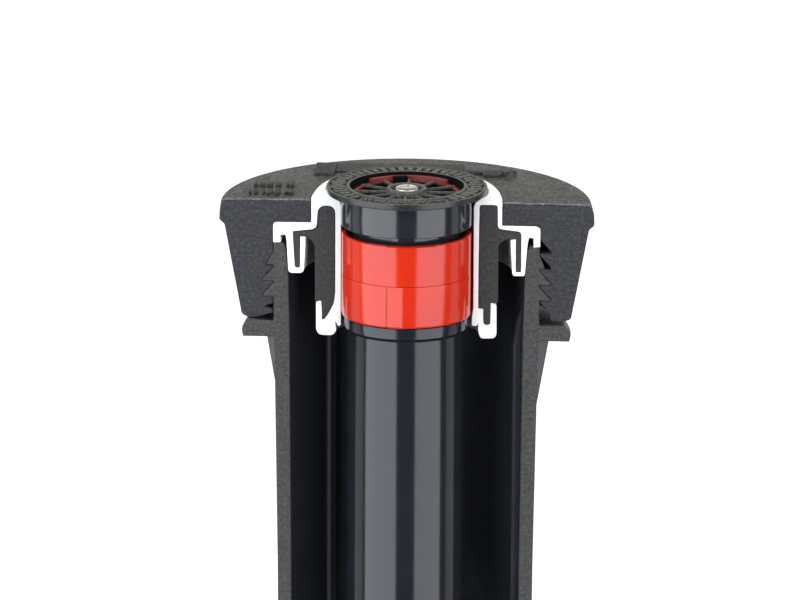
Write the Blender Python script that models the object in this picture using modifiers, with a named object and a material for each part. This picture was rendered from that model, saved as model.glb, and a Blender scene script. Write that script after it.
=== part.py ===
"""Pop-up sprinkler with a 100 mm riser, built as a half-section display unit.

The cap, wiper seal, seal core and case are cut away in front of the riser's axis. The riser,
its nozzle and everything inside them are whole. Profiles are in millimetres, as (radius, depth),
where depth is measured downwards from the top of the cap beside its centre hole.
"""
import math

import bmesh
import bpy
from mathutils import Matrix, Vector

MM = 0.001

# Overall sizes, in millimetres
CAP_TOP = 153.0            # height of the cap's top above the inlet's bottom face
CAP_RADIUS = 28.5
CAP_HOLE_RADIUS = 14.55
CAP_DEPTH = 18.55          # cap's bottom face, below the cap's top
CAP_CEILING = 3.65         # underside of the cap's top wall
CASE_RADIUS = 20.2
CASE_RIM = 6.85            # top rim of the case, below the cap's top
CASE_BORE_TOP = 18.4
CASE_BORE_BOTTOM = 17.1
FLANGE_RADIUS = 25.0
FLANGE_TOP = 19.25
FLANGE_BOTTOM = 21.7
THREAD_PITCH = 2.48
THREAD_CREST = 21.85
THREAD_LOWEST = 15.4       # lower flank of the lowest case thread, below the cap's top
CUT_HEIGHT = 17.0          # the case is whole below this height

# Inlet, in millimetres above its bottom face
INLET_DEPTH = 12.5
INLET_ROOT_RADIUS = 10.5
INLET_CREST_DEPTH = 0.95
INLET_PITCH = 1.814
INLET_TAPER = 1.0 / 32.0
FLOOR_TOP = 14.5
BOSS_RADIUS = 14.0
BOSS_RIBS = 8

# Riser and nozzle, in millimetres
STEM_RADIUS = 8.95
STEM_BORE = 7.0
COLLAR_RADIUS = 9.46
NOZZLE_RADIUS = 9.86
NOZZLE_BOTTOM = 17.6
NOZZLE_SPLIT = 11.1
NOZZLE_TOP = 4.4
DEFLECTOR_TOP = -2.4
DEFLECTOR_RADIUS = 12.2
SKIRT_RADIUS = 9.95
SKIRT_BOTTOM = 3.05
SPOKES = 12
SPOKE_WIDTH = 0.75
SCREW_HEAD_RADIUS = 1.75
SCREW_SHANK_RADIUS = 1.15
SCREW_PITCH = 0.7

# Ratchet and spring, in millimetres above the inlet's bottom face
FOOT_BOTTOM = 16.7
FOOT_TOP = 19.0
RING_BOTTOM = 19.4
RING_TOP = 21.6
RATCHET_TEETH = 24
RIB_ANGLES = (15, 135, 255)
GUIDE_TOP = 135.5           # top of the case's inner guide ribs
SPRING_BOTTOM = 21.75
SPRING_HEIGHT = 63.0
SPRING_RADIUS = 12.3
SPRING_WIRE = 0.65
SPRING_TURNS = 6.5

GAP = 0.1                  # clearance between coaxial turned faces
SEGMENTS = 40              # steps round the large turned pieces
FINE_SEGMENTS = 24         # steps round the small turned pieces


def clear_scene():
    for old in list(bpy.data.objects):
        bpy.data.objects.remove(old, do_unlink=True)


def new_collection(name):
    collection = bpy.data.collections.new(name)
    bpy.context.scene.collection.children.link(collection)
    return collection


clear_scene()
PARTS = new_collection("pop_up_sprinkler")
CUTTERS = new_collection("cutters")


def material(name, colour, roughness, metallic=0.0):
    mat = bpy.data.materials.new(name)
    mat.use_nodes = True
    shader = mat.node_tree.nodes["Principled BSDF"]
    shader.inputs["Base Color"].default_value = (*colour, 1.0)
    shader.inputs["Roughness"].default_value = roughness
    shader.inputs["Metallic"].default_value = metallic
    mat.diffuse_color = (*colour, 1.0)
    return mat


def down(outline):
    """Turns (radius, depth below the cap's top) into (radius, height above the inlet)."""
    return [(radius, CAP_TOP - depth) for radius, depth in outline]


def link(obj, collection):
    collection.objects.link(obj)
    if collection is CUTTERS:
        obj.hide_render = True
        obj.display_type = "WIRE"
    return obj


def turned(name, outline, mat=None, steps=SEGMENTS, collection=PARTS, closed=True):
    """A piece turned about Z from an outline of (radius, height), outer side running down."""
    mesh = bpy.data.meshes.new(name)
    points = [(radius * MM, 0.0, height * MM) for radius, height in outline]
    edges = [(i, i + 1) for i in range(len(points) - 1)]
    if closed:
        edges.append((len(points) - 1, 0))
    mesh.from_pydata(points, edges, [])
    obj = link(bpy.data.objects.new(name, mesh), collection)
    screw = obj.modifiers.new("turn", "SCREW")
    screw.steps = steps
    screw.render_steps = steps
    screw.use_merge_vertices = True
    screw.merge_threshold = 0.00001
    screw.use_smooth_shade = True
    if mat:
        obj.data.materials.append(mat)
    return obj


def block(name, size, centre, turn=0.0, collection=CUTTERS):
    """A box of the given size in millimetres, centred at a point, then turned about Z."""
    mesh = bpy.data.meshes.new(name)
    shape = bmesh.new()
    bmesh.ops.create_cube(shape, size=1.0)
    bmesh.ops.scale(shape, vec=Vector(size) * MM, verts=shape.verts)
    shape.to_mesh(mesh)
    shape.free()
    obj = link(bpy.data.objects.new(name, mesh), collection)
    obj.matrix_world = Matrix.Rotation(math.radians(turn), 4, "Z") @ Matrix.Translation(
        Vector(centre) * MM
    )
    return obj


def prism(name, outline, thickness, place=None, collection=CUTTERS):
    """A flat outline in millimetres, extruded by thickness about its own plane."""
    curve = bpy.data.curves.new(name, "CURVE")
    curve.dimensions = "2D"
    curve.fill_mode = "BOTH"
    curve.extrude = thickness * MM / 2
    spline = curve.splines.new("POLY")
    spline.points.add(len(outline) - 1)
    for point, (x, y) in zip(spline.points, outline):
        point.co = (x * MM, y * MM, 0.0, 1.0)
    spline.use_cyclic_u = True
    source = bpy.data.objects.new(name + "_outline", curve)
    collection.objects.link(source)
    if place:
        source.matrix_world = place
    return solid_from_curve(source, name, collection)


def solid_from_curve(source, name, collection):
    """Turns a curve object into a welded mesh object in the same place."""
    bpy.context.view_layer.update()
    evaluated = source.evaluated_get(bpy.context.evaluated_depsgraph_get())
    mesh = bpy.data.meshes.new_from_object(evaluated)
    shape = bmesh.new()
    shape.from_mesh(mesh)
    bmesh.ops.remove_doubles(shape, verts=shape.verts, dist=0.000001)
    bmesh.ops.recalc_face_normals(shape, faces=shape.faces)
    shape.to_mesh(mesh)
    shape.free()
    obj = link(bpy.data.objects.new(name, mesh), collection)
    obj.matrix_world = source.matrix_world.copy()
    bpy.data.objects.remove(source, do_unlink=True)
    return obj


def joined(name, pieces):
    """Several cutters that don't touch, as one cutter object."""
    shape = bmesh.new()
    for piece in pieces:
        start = len(shape.verts)
        shape.from_mesh(piece.data)
        shape.verts.ensure_lookup_table()
        bmesh.ops.transform(shape, matrix=piece.matrix_world, verts=shape.verts[start:])
        bpy.data.objects.remove(piece, do_unlink=True)
    mesh = bpy.data.meshes.new(name)
    shape.to_mesh(mesh)
    shape.free()
    return link(bpy.data.objects.new(name, mesh), CUTTERS)


def combine(obj, cutter, operation):
    boolean = obj.modifiers.new(cutter.name, "BOOLEAN")
    boolean.object = cutter
    boolean.operation = operation
    boolean.solver = "EXACT"
    return obj


def smooth(obj, angle=35):
    """Shades a finished piece smooth, with its corners kept sharp."""
    bpy.context.view_layer.update()
    evaluated = obj.evaluated_get(bpy.context.evaluated_depsgraph_get())
    mesh = bpy.data.meshes.new_from_object(evaluated)
    mesh.shade_smooth()
    mesh.set_sharp_from_angle(angle=math.radians(angle))
    obj.modifiers.clear()
    obj.data = mesh
    return obj


CAP_PLASTIC = material("cap_abs", (0.030, 0.030, 0.029), 0.55)
CASE_PLASTIC = material("case_abs", (0.040, 0.040, 0.040), 0.5)
CORE_PLASTIC = material("seal_core_pp", (0.055, 0.055, 0.056), 0.55)
SEAL_RUBBER = material("wiper_seal_tpe", (0.86, 0.86, 0.86), 0.45)
GLOSS_BLACK = material("gloss_black_acetal", (0.012, 0.012, 0.014), 0.2)
RED_PLASTIC = material("red_acetal", (0.72, 0.045, 0.022), 0.25)
BLACK_PLASTIC = material("satin_black_acetal", (0.020, 0.020, 0.021), 0.4)
FILTER_PLASTIC = material("filter_nylon", (0.30, 0.31, 0.32), 0.5)
CHECK_RUBBER = material("black_epdm", (0.018, 0.018, 0.018), 0.75)
STAINLESS = material("stainless_steel", (0.62, 0.60, 0.55), 0.3, 1.0)
SPRING_STEEL = material("spring_steel", (0.55, 0.55, 0.56), 0.28, 1.0)

FRONT_HALF = block("front_half", (80.0, 40.0, 160.0), (0.0, -20.0, CUT_HEIGHT + 80.0))


def thread_ridge(lower_flank, crest, root):
    """One buttress ridge on an outer wall: sloped above, level below, in (radius, depth)."""
    return [
        (root, lower_flank - 2.15),
        (crest, lower_flank - 0.3),
        (crest, lower_flank),
        (root, lower_flank),
    ]


def thread_groove(lower_flank, depth_radius, wall):
    """The groove that takes thread_ridge, run upwards along an inner wall."""
    return [
        (wall, lower_flank + GAP),
        (depth_radius, lower_flank + GAP),
        (depth_radius, lower_flank - 0.4),
        (wall, lower_flank - 2.25),
    ]


def case_outline():
    """Right-hand section of the case, from the top rim down the outside and back up inside."""
    outline = [(CASE_BORE_TOP + 0.3, CASE_RIM), (20.1, CASE_RIM), (20.3, CASE_RIM + 0.2)]
    outline += thread_ridge(THREAD_LOWEST - 2 * THREAD_PITCH, THREAD_CREST - 0.9, 20.3)
    outline += thread_ridge(THREAD_LOWEST - THREAD_PITCH, THREAD_CREST, 20.3)
    outline += thread_ridge(THREAD_LOWEST, THREAD_CREST, 20.3)
    outline += [
        (CASE_RADIUS, THREAD_LOWEST + 0.1),
        (CASE_RADIUS, FLANGE_TOP),
        (FLANGE_RADIUS - 0.6, FLANGE_TOP),
        (FLANGE_RADIUS, FLANGE_TOP + 0.85),
        (FLANGE_RADIUS, FLANGE_BOTTOM - 0.6),
        (FLANGE_RADIUS - 0.3, FLANGE_BOTTOM),
        (CASE_RADIUS, FLANGE_BOTTOM),
        (19.5, 57.0),
    ]
    outside_base = [
        (18.9, 20.0),
        (18.75, 13.8),
        (18.0, 12.7),
        (BOSS_RADIUS + 0.6, 12.2),
        (BOSS_RADIUS, 11.6),
        (BOSS_RADIUS, 0.5),
        (BOSS_RADIUS - 0.5, 0.0),
        (INLET_ROOT_RADIUS, 0.0),
    ]
    inlet_thread = []
    ridges = int((INLET_DEPTH - 1.4) / INLET_PITCH)
    for ridge in range(ridges):
        height = 0.9 + ridge * INLET_PITCH
        root = INLET_ROOT_RADIUS - height * INLET_TAPER
        inlet_thread.append((root, height))
        inlet_thread.append((root - INLET_CREST_DEPTH, height + INLET_PITCH * 0.5))
    inside = [
        (INLET_ROOT_RADIUS - INLET_DEPTH * INLET_TAPER, INLET_DEPTH - 0.9),
        (INLET_ROOT_RADIUS - INLET_DEPTH * INLET_TAPER, INLET_DEPTH),
        (8.0, INLET_DEPTH),
        (8.0, FLOOR_TOP),
        (CASE_BORE_BOTTOM - 0.6, FLOOR_TOP),
        (CASE_BORE_BOTTOM, FLOOR_TOP + 0.6),
    ]
    bore = [
        (17.4, 57.0),
        (17.75, 22.0),
        (17.85, 14.0),
        (18.0, 11.5),
        (CASE_BORE_TOP, CASE_RIM + 0.7),
    ]
    return down(outline) + outside_base + inlet_thread + inside + down(bore)


def build_case():
    case = turned("case_body", case_outline(), CASE_PLASTIC)
    case_ribs = []
    for index in range(BOSS_RIBS):
        angle = 22.5 + index * 360.0 / BOSS_RIBS
        case_ribs.append(block("boss_rib", (4.4, 2.0, 11.5), (15.2, 0.0, 7.25), angle))
    case_ribs = joined("boss_ribs", case_ribs)
    upright = Matrix.Rotation(math.radians(90), 4, "X")
    guide_rib = [
        (17.9, FLOOR_TOP - 0.6),
        (17.9, GUIDE_TOP - 1.0),
        (17.95, GUIDE_TOP),
        (16.6, GUIDE_TOP - 6.0),
        (16.2, FLOOR_TOP - 0.6),
    ]
    guide_ribs = []
    for angle in RIB_ANGLES[:2]:
        turn = Matrix.Rotation(math.radians(angle), 4, "Z")
        guide_ribs.append(prism("guide_rib", guide_rib, 1.8, turn @ upright))
    guide_ribs = joined("guide_ribs", guide_ribs)
    flange_underside = CAP_TOP - FLANGE_BOTTOM
    gusset = [
        (19.0, flange_underside + 0.5),
        (22.4, flange_underside + 0.5),
        (22.4, flange_underside),
        (20.0, flange_underside - 8.5),
        (19.0, flange_underside - 8.5),
    ]
    gussets = []
    for index in range(6):
        turn = Matrix.Rotation(math.radians(15 + index * 30), 4, "Z")
        gussets.append(prism("gusset", gusset, 1.5, turn @ upright))
    gussets = joined("gussets", gussets)
    combine(case, case_ribs, "UNION")
    combine(case, gussets, "UNION")
    combine(case, FRONT_HALF, "DIFFERENCE")
    combine(case, guide_ribs, "UNION")
    return smooth(case)


def build_cap():
    wall = 20.4
    outline = [
        (CAP_HOLE_RADIUS, 0.25),
        (CAP_HOLE_RADIUS + 0.25, 0.0),
        (21.5, 0.1),
        (27.9, 0.33),
        (28.2, 0.55),
        (CAP_RADIUS, CAP_CEILING),
        (27.65, CAP_CEILING + 0.45),
        (25.0, CAP_DEPTH - 0.15),
        (24.1, CAP_DEPTH),
        (22.6, CAP_DEPTH),
        (wall + 0.1, THREAD_LOWEST + 0.8),
    ]
    for index in range(4):
        outline += thread_groove(THREAD_LOWEST - index * THREAD_PITCH, THREAD_CREST + GAP, wall)
    outline += [
        (wall, 4.75),
        (20.05, 4.0),
        (19.4, CAP_CEILING),
        (CAP_HOLE_RADIUS, CAP_CEILING),
    ]
    cap = turned("body_cap", down(outline), CAP_PLASTIC)
    pad = block("cap_pad", (28.8, 6.4, 1.0), (0.0, 19.4, CAP_TOP + 0.05))
    peg = turned(
        "cap_peg",
        [(0.0, CAP_TOP + 0.8), (1.12, CAP_TOP + 0.8), (1.12, CAP_TOP - 1.0), (0.0, CAP_TOP - 1.0)],
        steps=FINE_SEGMENTS,
        collection=CUTTERS,
        closed=False,
    )
    peg.location = (15.7 * MM, 16.5 * MM, 0.0)
    slot = block("cap_slot", (9.0, 0.45, 0.8), (20.4, 0.0, CAP_TOP), 120)
    combine(cap, pad, "UNION")
    combine(cap, peg, "UNION")
    combine(cap, slot, "DIFFERENCE")
    combine(cap, FRONT_HALF, "DIFFERENCE")
    return smooth(cap)


def build_seal_core():
    outline = [
        (11.0, 0.8),
        (11.25, 0.55),
        (13.2, 0.55),
        (13.55, 0.9),
        (13.55, 4.1),
        (13.85, 4.6),
        (17.0, 4.65),
        (17.3, 4.95),
        (17.3, 10.7),
        (16.45, 10.7),
        (16.45, 5.7),
        (15.4, 5.7),
        (14.4, 6.1),
        (13.95, 7.0),
        (13.9, 15.5),
        (12.75, 15.75),
        (12.75, 19.4),
        (11.85, 19.4),
        (11.85, 16.8),
        (11.0, 16.8),
    ]
    core = turned("seal_core", down(outline), CORE_PLASTIC)
    return smooth(combine(core, FRONT_HALF, "DIFFERENCE"))


def build_wiper_seal():
    funnel_and_dome = [
        (10.15, 0.9),
        (10.35, 0.25),
        (11.1, -0.3),
        (12.15, -0.95),
        (12.4, -1.65),
        (12.9, -1.85),
        (13.5, -1.5),
        (14.1, -0.85),
        (CAP_HOLE_RADIUS - GAP, -0.2),
    ]
    shoulder = [
        (CAP_HOLE_RADIUS - GAP, CAP_CEILING + GAP),
        (19.35, CAP_CEILING + GAP),
        (19.95, 4.1),
        (20.3, 4.8),
        (20.3, CASE_RIM - GAP),
        (19.15, CASE_RIM - GAP),
        (19.15, 5.5),
        (18.3, 5.4),
    ]
    u_leg = [
        (18.3, 7.5),
        (17.9, 11.2),
        (17.5, 11.6),
        (15.9, 11.6),
        (15.55, 11.2),
        (15.5, 5.8),
        (16.35, 5.8),
        (16.35, 10.8),
        (17.4, 10.8),
        (17.4, 4.9),
        (17.1, 4.55),
    ]
    over_the_core = [
        (13.95, 4.5),
        (13.65, 4.1),
        (13.65, 0.8),
        (13.25, 0.45),
        (11.2, 0.45),
        (10.9, 0.75),
        (10.9, 16.9),
        (11.75, 16.9),
        (11.75, 19.5),
        (12.85, 19.5),
        (12.85, 16.0),
        (13.3, 15.8),
        (13.7, 16.3),
    ]
    hook_and_lip = [
        (13.75, 20.6),
        (13.4, 21.25),
        (12.9, 21.5),
        (11.6, 21.5),
        (11.1, 21.1),
        (10.98, 20.3),
        (10.95, 18.9),
        (10.7, 19.6),
        (9.8, 19.55),
        (9.95, 18.2),
        (10.15, 16.6),
    ]
    outline = funnel_and_dome + shoulder + u_leg + over_the_core + hook_and_lip
    seal = turned("wiper_seal", down(outline), SEAL_RUBBER)
    return smooth(combine(seal, FRONT_HALF, "DIFFERENCE"))


def build_riser_stem():
    neck = [(6.5, 13.5), (7.85, 13.5)]
    for index in range(2):
        start = 14.1 + index * 1.4
        neck += [(7.85, start), (8.15, start + 0.4), (8.15, start + 0.6), (7.85, start + 1.0)]
    outline = neck + [
        (7.85, NOZZLE_BOTTOM + GAP),
        (COLLAR_RADIUS - 0.15, NOZZLE_BOTTOM + GAP),
        (COLLAR_RADIUS, NOZZLE_BOTTOM + 0.3),
        (COLLAR_RADIUS, 19.6),
        (STEM_RADIUS, 19.75),
        (STEM_RADIUS, CAP_TOP - FOOT_BOTTOM - 1.0),
        (8.6, CAP_TOP - FOOT_BOTTOM - 0.6),
        (8.6, CAP_TOP - FOOT_BOTTOM),
        (STEM_BORE, CAP_TOP - FOOT_BOTTOM),
        (STEM_BORE, 22.0),
        (6.5, 21.0),
    ]
    return smooth(turned("riser_stem", down(outline), GLOSS_BLACK))


def ratchet_grooves(name, height):
    """Radial V grooves round a ring's face: square bars standing on their edge."""
    bars = []
    side = 0.75
    for index in range(RATCHET_TEETH):
        bar = block("bar", (5.2, side, side), (0.0, 0.0, 0.0))
        tip = Matrix.Rotation(math.radians(45), 4, "X")
        out = Matrix.Translation(Vector((11.6, 0.0, height)) * MM)
        turn = Matrix.Rotation(index * math.tau / RATCHET_TEETH, 4, "Z")
        bar.matrix_world = turn @ out @ tip
        bars.append(bar)
    return joined(name, bars)


def build_ratchet_foot():
    outline = [
        (9.25, FOOT_TOP),
        (14.0, FOOT_TOP),
        (14.3, FOOT_TOP - 0.3),
        (14.3, FOOT_BOTTOM + 0.3),
        (14.0, FOOT_BOTTOM),
        (8.9, FOOT_BOTTOM),
        (8.9, FOOT_BOTTOM + 0.5),
        (9.25, FOOT_BOTTOM + 0.9),
    ]
    foot = turned("ratchet_foot", outline, BLACK_PLASTIC)
    return smooth(combine(foot, ratchet_grooves("foot_grooves", FOOT_TOP), "DIFFERENCE"), 25)


def build_ratchet_ring():
    outer = 16.6
    outline = [
        (9.35, RING_TOP),
        (11.2, RING_TOP),
        (11.2, RING_TOP - 0.5),
        (13.6, RING_TOP - 0.5),
        (13.6, RING_TOP),
        (outer - 0.3, RING_TOP),
        (outer, RING_TOP - 0.3),
        (outer, RING_BOTTOM + 0.3),
        (outer - 0.3, RING_BOTTOM),
        (9.35, RING_BOTTOM),
    ]
    ring = turned("ratchet_ring", outline, BLACK_PLASTIC)
    notches = []
    for angle in RIB_ANGLES:
        notches.append(block("notch", (2.4, 2.6, 6.0), (17.1, 0.0, RING_TOP - 1.0), angle))
    combine(ring, ratchet_grooves("ring_grooves", RING_BOTTOM), "DIFFERENCE")
    combine(ring, joined("ring_notches", notches), "DIFFERENCE")
    return smooth(ring, 25)


def build_spring():
    """A slack coil with closed end turns, standing on the ratchet ring."""
    curve = bpy.data.curves.new("retraction_spring", "CURVE")
    curve.dimensions = "3D"
    curve.bevel_depth = SPRING_WIRE * MM
    curve.bevel_resolution = 2
    curve.use_fill_caps = True
    per_turn = 20
    count = int(SPRING_TURNS * per_turn) + 1
    spline = curve.splines.new("POLY")
    spline.points.add(count - 1)
    closed_rise = SPRING_WIRE * 2.1
    open_rise = SPRING_HEIGHT - 2 * SPRING_WIRE - 2 * closed_rise
    for index, point in enumerate(spline.points):
        turn = index / per_turn
        middle = min(max((turn - 1.0) / (SPRING_TURNS - 2.0), 0.0), 1.0)
        ends = min(turn, 1.0) + max(turn - (SPRING_TURNS - 1.0), 0.0)
        height = SPRING_WIRE + closed_rise * ends + open_rise * middle
        angle = turn * math.tau
        point.co = (
            SPRING_RADIUS * MM * math.cos(angle),
            SPRING_RADIUS * MM * math.sin(angle),
            (SPRING_BOTTOM - 0.5 + height) * MM,
            1.0,
        )
    source = bpy.data.objects.new("spring_path", curve)
    PARTS.objects.link(source)
    spring = solid_from_curve(source, "retraction_spring", PARTS)
    spring.data.materials.clear()
    spring.data.materials.append(SPRING_STEEL)
    return smooth(spring, 60)


def build_drain_check():
    seal = [
        (7.6, FOOT_BOTTOM - 0.3),
        (13.2, FOOT_BOTTOM - 0.3),
        (13.5, FOOT_BOTTOM - 0.6),
        (13.5, FLOOR_TOP + 0.6),
        (13.2, FLOOR_TOP + 0.3),
        (9.5, FLOOR_TOP + 0.3),
        (9.5, FOOT_BOTTOM - 1.0),
        (7.6, FOOT_BOTTOM - 1.0),
    ]
    smooth(turned("drain_check_seal", seal, CHECK_RUBBER, FINE_SEGMENTS))
    retainer = [
        (5.4, 24.0),
        (6.4, 24.0),
        (6.75, 23.4),
        (6.75, FOOT_BOTTOM - 0.2),
        (7.3, FOOT_BOTTOM - 0.4),
        (7.3, FOOT_BOTTOM - 1.3),
        (9.2, FOOT_BOTTOM - 1.3),
        (9.2, FLOOR_TOP + 0.4),
        (5.4, FLOOR_TOP + 0.4),
    ]
    smooth(turned("drain_check_retainer", retainer, BLACK_PLASTIC, FINE_SEGMENTS))


def build_nozzle_body():
    """Lower red shell with its throat floor, screw guide and keyed tab."""
    outline = [
        (7.0, 8.5),
        (7.9, 8.5),
        (7.9, NOZZLE_SPLIT + 0.05),
        (NOZZLE_RADIUS, NOZZLE_SPLIT + 0.05),
        (NOZZLE_RADIUS, NOZZLE_BOTTOM - 0.1),
        (NOZZLE_RADIUS - 0.12, NOZZLE_BOTTOM),
        (8.3, NOZZLE_BOTTOM),
        (8.3, 12.5),
        (1.3, 12.5),
        (1.3, 12.0),
        (2.05, 12.0),
        (2.05, 10.9),
        (7.0, 10.9),
    ]
    body = turned("nozzle_body", down(outline), RED_PLASTIC)
    ports = []
    for index in range(6):
        angle = index * 60
        ports.append(block("port", (1.8, 2.2, 4.0), (4.0, 0.0, CAP_TOP - 11.7), angle))
    middle = CAP_TOP - (NOZZLE_SPLIT + NOZZLE_BOTTOM) / 2
    seams = []
    for across in (-2.84, -0.29):
        seams.append(block("seam", (0.14, 0.7, 8.0), (across, -9.75, middle)))
    combine(body, joined("nozzle_ports", ports), "DIFFERENCE")
    combine(body, joined("tab_seams", seams), "DIFFERENCE")
    return smooth(body)


def build_arc_collar():
    outline = [
        (9.15, NOZZLE_TOP),
        (NOZZLE_RADIUS - 0.12, NOZZLE_TOP),
        (NOZZLE_RADIUS, NOZZLE_TOP + 0.12),
        (NOZZLE_RADIUS, NOZZLE_SPLIT - 0.05),
        (8.1, NOZZLE_SPLIT - 0.05),
        (8.1, 6.8),
        (9.15, 6.8),
    ]
    collar = turned("arc_collar", down(outline), RED_PLASTIC)
    notch = block("arc_edge", (2.0, 1.2, 0.6), (9.4, 0.0, CAP_TOP - NOZZLE_TOP), -70)
    return smooth(combine(collar, notch, "DIFFERENCE"))


def build_deflector_cap():
    web_top = -1.5
    web_bottom = -0.6
    outline = [
        (1.3, -0.95),
        (2.4, -0.95),
        (2.4, -2.05),
        (3.1, -2.05),
        (3.1, web_top),
        (8.6, web_top),
        (8.6, DEFLECTOR_TOP),
        (DEFLECTOR_RADIUS - 0.2, DEFLECTOR_TOP),
        (DEFLECTOR_RADIUS, DEFLECTOR_TOP + 0.2),
        (DEFLECTOR_RADIUS, -1.25),
        (11.0, -0.55),
        (10.1, 0.05),
        (SKIRT_RADIUS, 0.4),
        (SKIRT_RADIUS, SKIRT_BOTTOM),
        (8.9, SKIRT_BOTTOM),
        (8.9, 6.4),
        (8.1, 6.4),
        (8.1, web_bottom),
        (2.4, web_bottom),
        (2.4, 0.6),
        (1.3, 0.6),
    ]
    cap = turned("deflector_cap", down(outline), BLACK_PLASTIC)
    inner, outer = 3.7, 8.0
    slope = math.tan(math.pi / SPOKES)
    margin = SPOKE_WIDTH / 2 / math.cos(math.pi / SPOKES)
    wedge = [
        (inner, margin - inner * slope),
        (outer, margin - outer * slope),
        (outer, outer * slope - margin),
        (inner, inner * slope - margin),
    ]
    windows = []
    for index in range(SPOKES):
        turn = Matrix.Rotation((index + 0.5) * math.tau / SPOKES, 4, "Z")
        lift = Matrix.Translation(Vector((0.0, 0.0, CAP_TOP - web_top)) * MM)
        windows.append(prism("window", wedge, 4.0, turn @ lift))
    return smooth(combine(cap, joined("deflector_windows", windows), "DIFFERENCE"))


def build_pattern_core():
    """Red cup inside the deflector, seen through its windows."""
    outline = [
        (6.9, -0.4),
        (7.9, -0.4),
        (7.9, 8.3),
        (1.3, 8.3),
        (1.3, 0.9),
        (2.3, 0.9),
        (2.3, 6.2),
        (6.9, 6.2),
    ]
    core = turned("pattern_core", down(outline), RED_PLASTIC)
    ports = []
    for index in range(6):
        ports.append(block("port", (2.4, 2.2, 6.0), (4.6, 0.0, CAP_TOP - 7.5), index * 60))
    return smooth(combine(core, joined("core_ports", ports), "DIFFERENCE"))


def build_radius_screw():
    tip = 24.0
    outline = [(0.0, -2.2), (1.55, -2.15), (SCREW_HEAD_RADIUS, -1.95), (SCREW_HEAD_RADIUS, -1.1)]
    outline += [(SCREW_SHANK_RADIUS, -1.1), (SCREW_SHANK_RADIUS, 13.0)]
    threads = int((tip - 14.0) / SCREW_PITCH)
    for index in range(threads):
        start = 13.4 + index * SCREW_PITCH
        outline.append((SCREW_SHANK_RADIUS - 0.25, start))
        outline.append((SCREW_SHANK_RADIUS, start + SCREW_PITCH / 2))
    outline += [(SCREW_SHANK_RADIUS - 0.25, tip - 0.4), (0.6, tip), (0.0, tip)]
    steps = 16
    screw = turned("radius_screw", down(outline), STAINLESS, steps, closed=False)
    slot = block("screw_slot", (4.0, 0.5, 1.0), (0.0, 0.0, CAP_TOP + 2.2), 20)
    return smooth(combine(screw, slot, "DIFFERENCE"))


def ring_torus(name, mean_radius, wire, height, mat):
    section = []
    sides = 8
    for index in range(sides):
        angle = math.pi - index * math.tau / sides
        section.append((mean_radius + wire * math.cos(angle), height + wire * math.sin(angle)))
    return smooth(turned(name, section, mat, FINE_SEGMENTS), 60)


def build_throttle_plug():
    outline = [
        (1.3, 17.0),
        (2.2, 17.0),
        (3.4, 18.2),
        (3.4, 19.0),
        (2.4, 20.6),
        (2.4, 22.0),
        (1.3, 22.0),
    ]
    plug = turned("throttle_plug", down(outline), BLACK_PLASTIC, FINE_SEGMENTS)
    wings = []
    for angle in (0, 180):
        wings.append(block("wing", (1.2, 0.9, 1.6), (3.2, 0.0, CAP_TOP - 19.2), angle))
    return smooth(combine(plug, joined("plug_wings", wings), "UNION"))


def build_filter():
    """Basket hanging from the nozzle into the stem, with a fine sleeve inside its windows."""
    top = 12.65
    bottom = 40.0
    basket = [
        (0.0, bottom - 1.0),
        (4.0, bottom - 1.0),
        (4.9, top),
        (6.9, top),
        (6.9, top + 0.7),
        (5.8, top + 0.75),
        (4.7, bottom),
        (0.0, bottom),
    ]
    frame = turned("filter_frame", down(basket), BLACK_PLASTIC, 32, closed=False)
    windows = []
    for row in range(2):
        height = CAP_TOP - 21.0 - row * 11.5
        for index in range(4):
            angle = 45 + index * 90
            windows.append(block("window", (4.0, 5.0, 10.0), (5.2, 0.0, height), angle))
    smooth(combine(frame, joined("filter_windows", windows), "DIFFERENCE"))
    sleeve = [(4.35, 14.5), (4.65, 14.5), (3.8, bottom - 1.3), (3.5, bottom - 1.3)]
    mesh = turned("filter_mesh", down(sleeve), FILTER_PLASTIC, FINE_SEGMENTS)
    slits = []
    for row in range(7):
        for index in range(8):
            height = CAP_TOP - 17.5 - row * 3.0
            slits.append(block("slit", (3.0, 0.9, 1.5), (4.1, 0.0, height), 45 * index + 11.25))
    smooth(combine(mesh, joined("filter_slits", slits), "DIFFERENCE"))


def build_gasket():
    outline = [(7.05, 12.65), (8.1, 12.65), (8.1, 13.35), (7.05, 13.35)]
    smooth(turned("nozzle_gasket", down(outline), CHECK_RUBBER))


build_case()
build_cap()
build_seal_core()
build_wiper_seal()
build_riser_stem()
build_ratchet_foot()
build_ratchet_ring()
build_spring()
build_drain_check()
build_nozzle_body()
build_arc_collar()
build_deflector_cap()
build_pattern_core()
build_radius_screw()
ring_torus("screw_oring", 1.62, 0.28, CAP_TOP - 11.6, CHECK_RUBBER)
build_throttle_plug()
build_filter()
build_gasket()
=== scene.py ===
"""Looks for a pop-up sprinkler shown as a half-section display unit.

The cap, wiper seal, seal core and case are sawn away in front of the riser's axis. The riser, its
nozzle and all that is inside them are whole. Outlines are in millimetres. Those that go through
down() give (radius, depth), with depth measured downwards from the top of the cap. The others give
(radius, height) above the inlet's lower end. A third number rounds that corner.
"""
import math
import random

import bmesh
import bpy
import numpy as np
from bpy.props import FloatProperty, FloatVectorProperty, IntProperty, PointerProperty
from mathutils import Matrix, Vector


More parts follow.
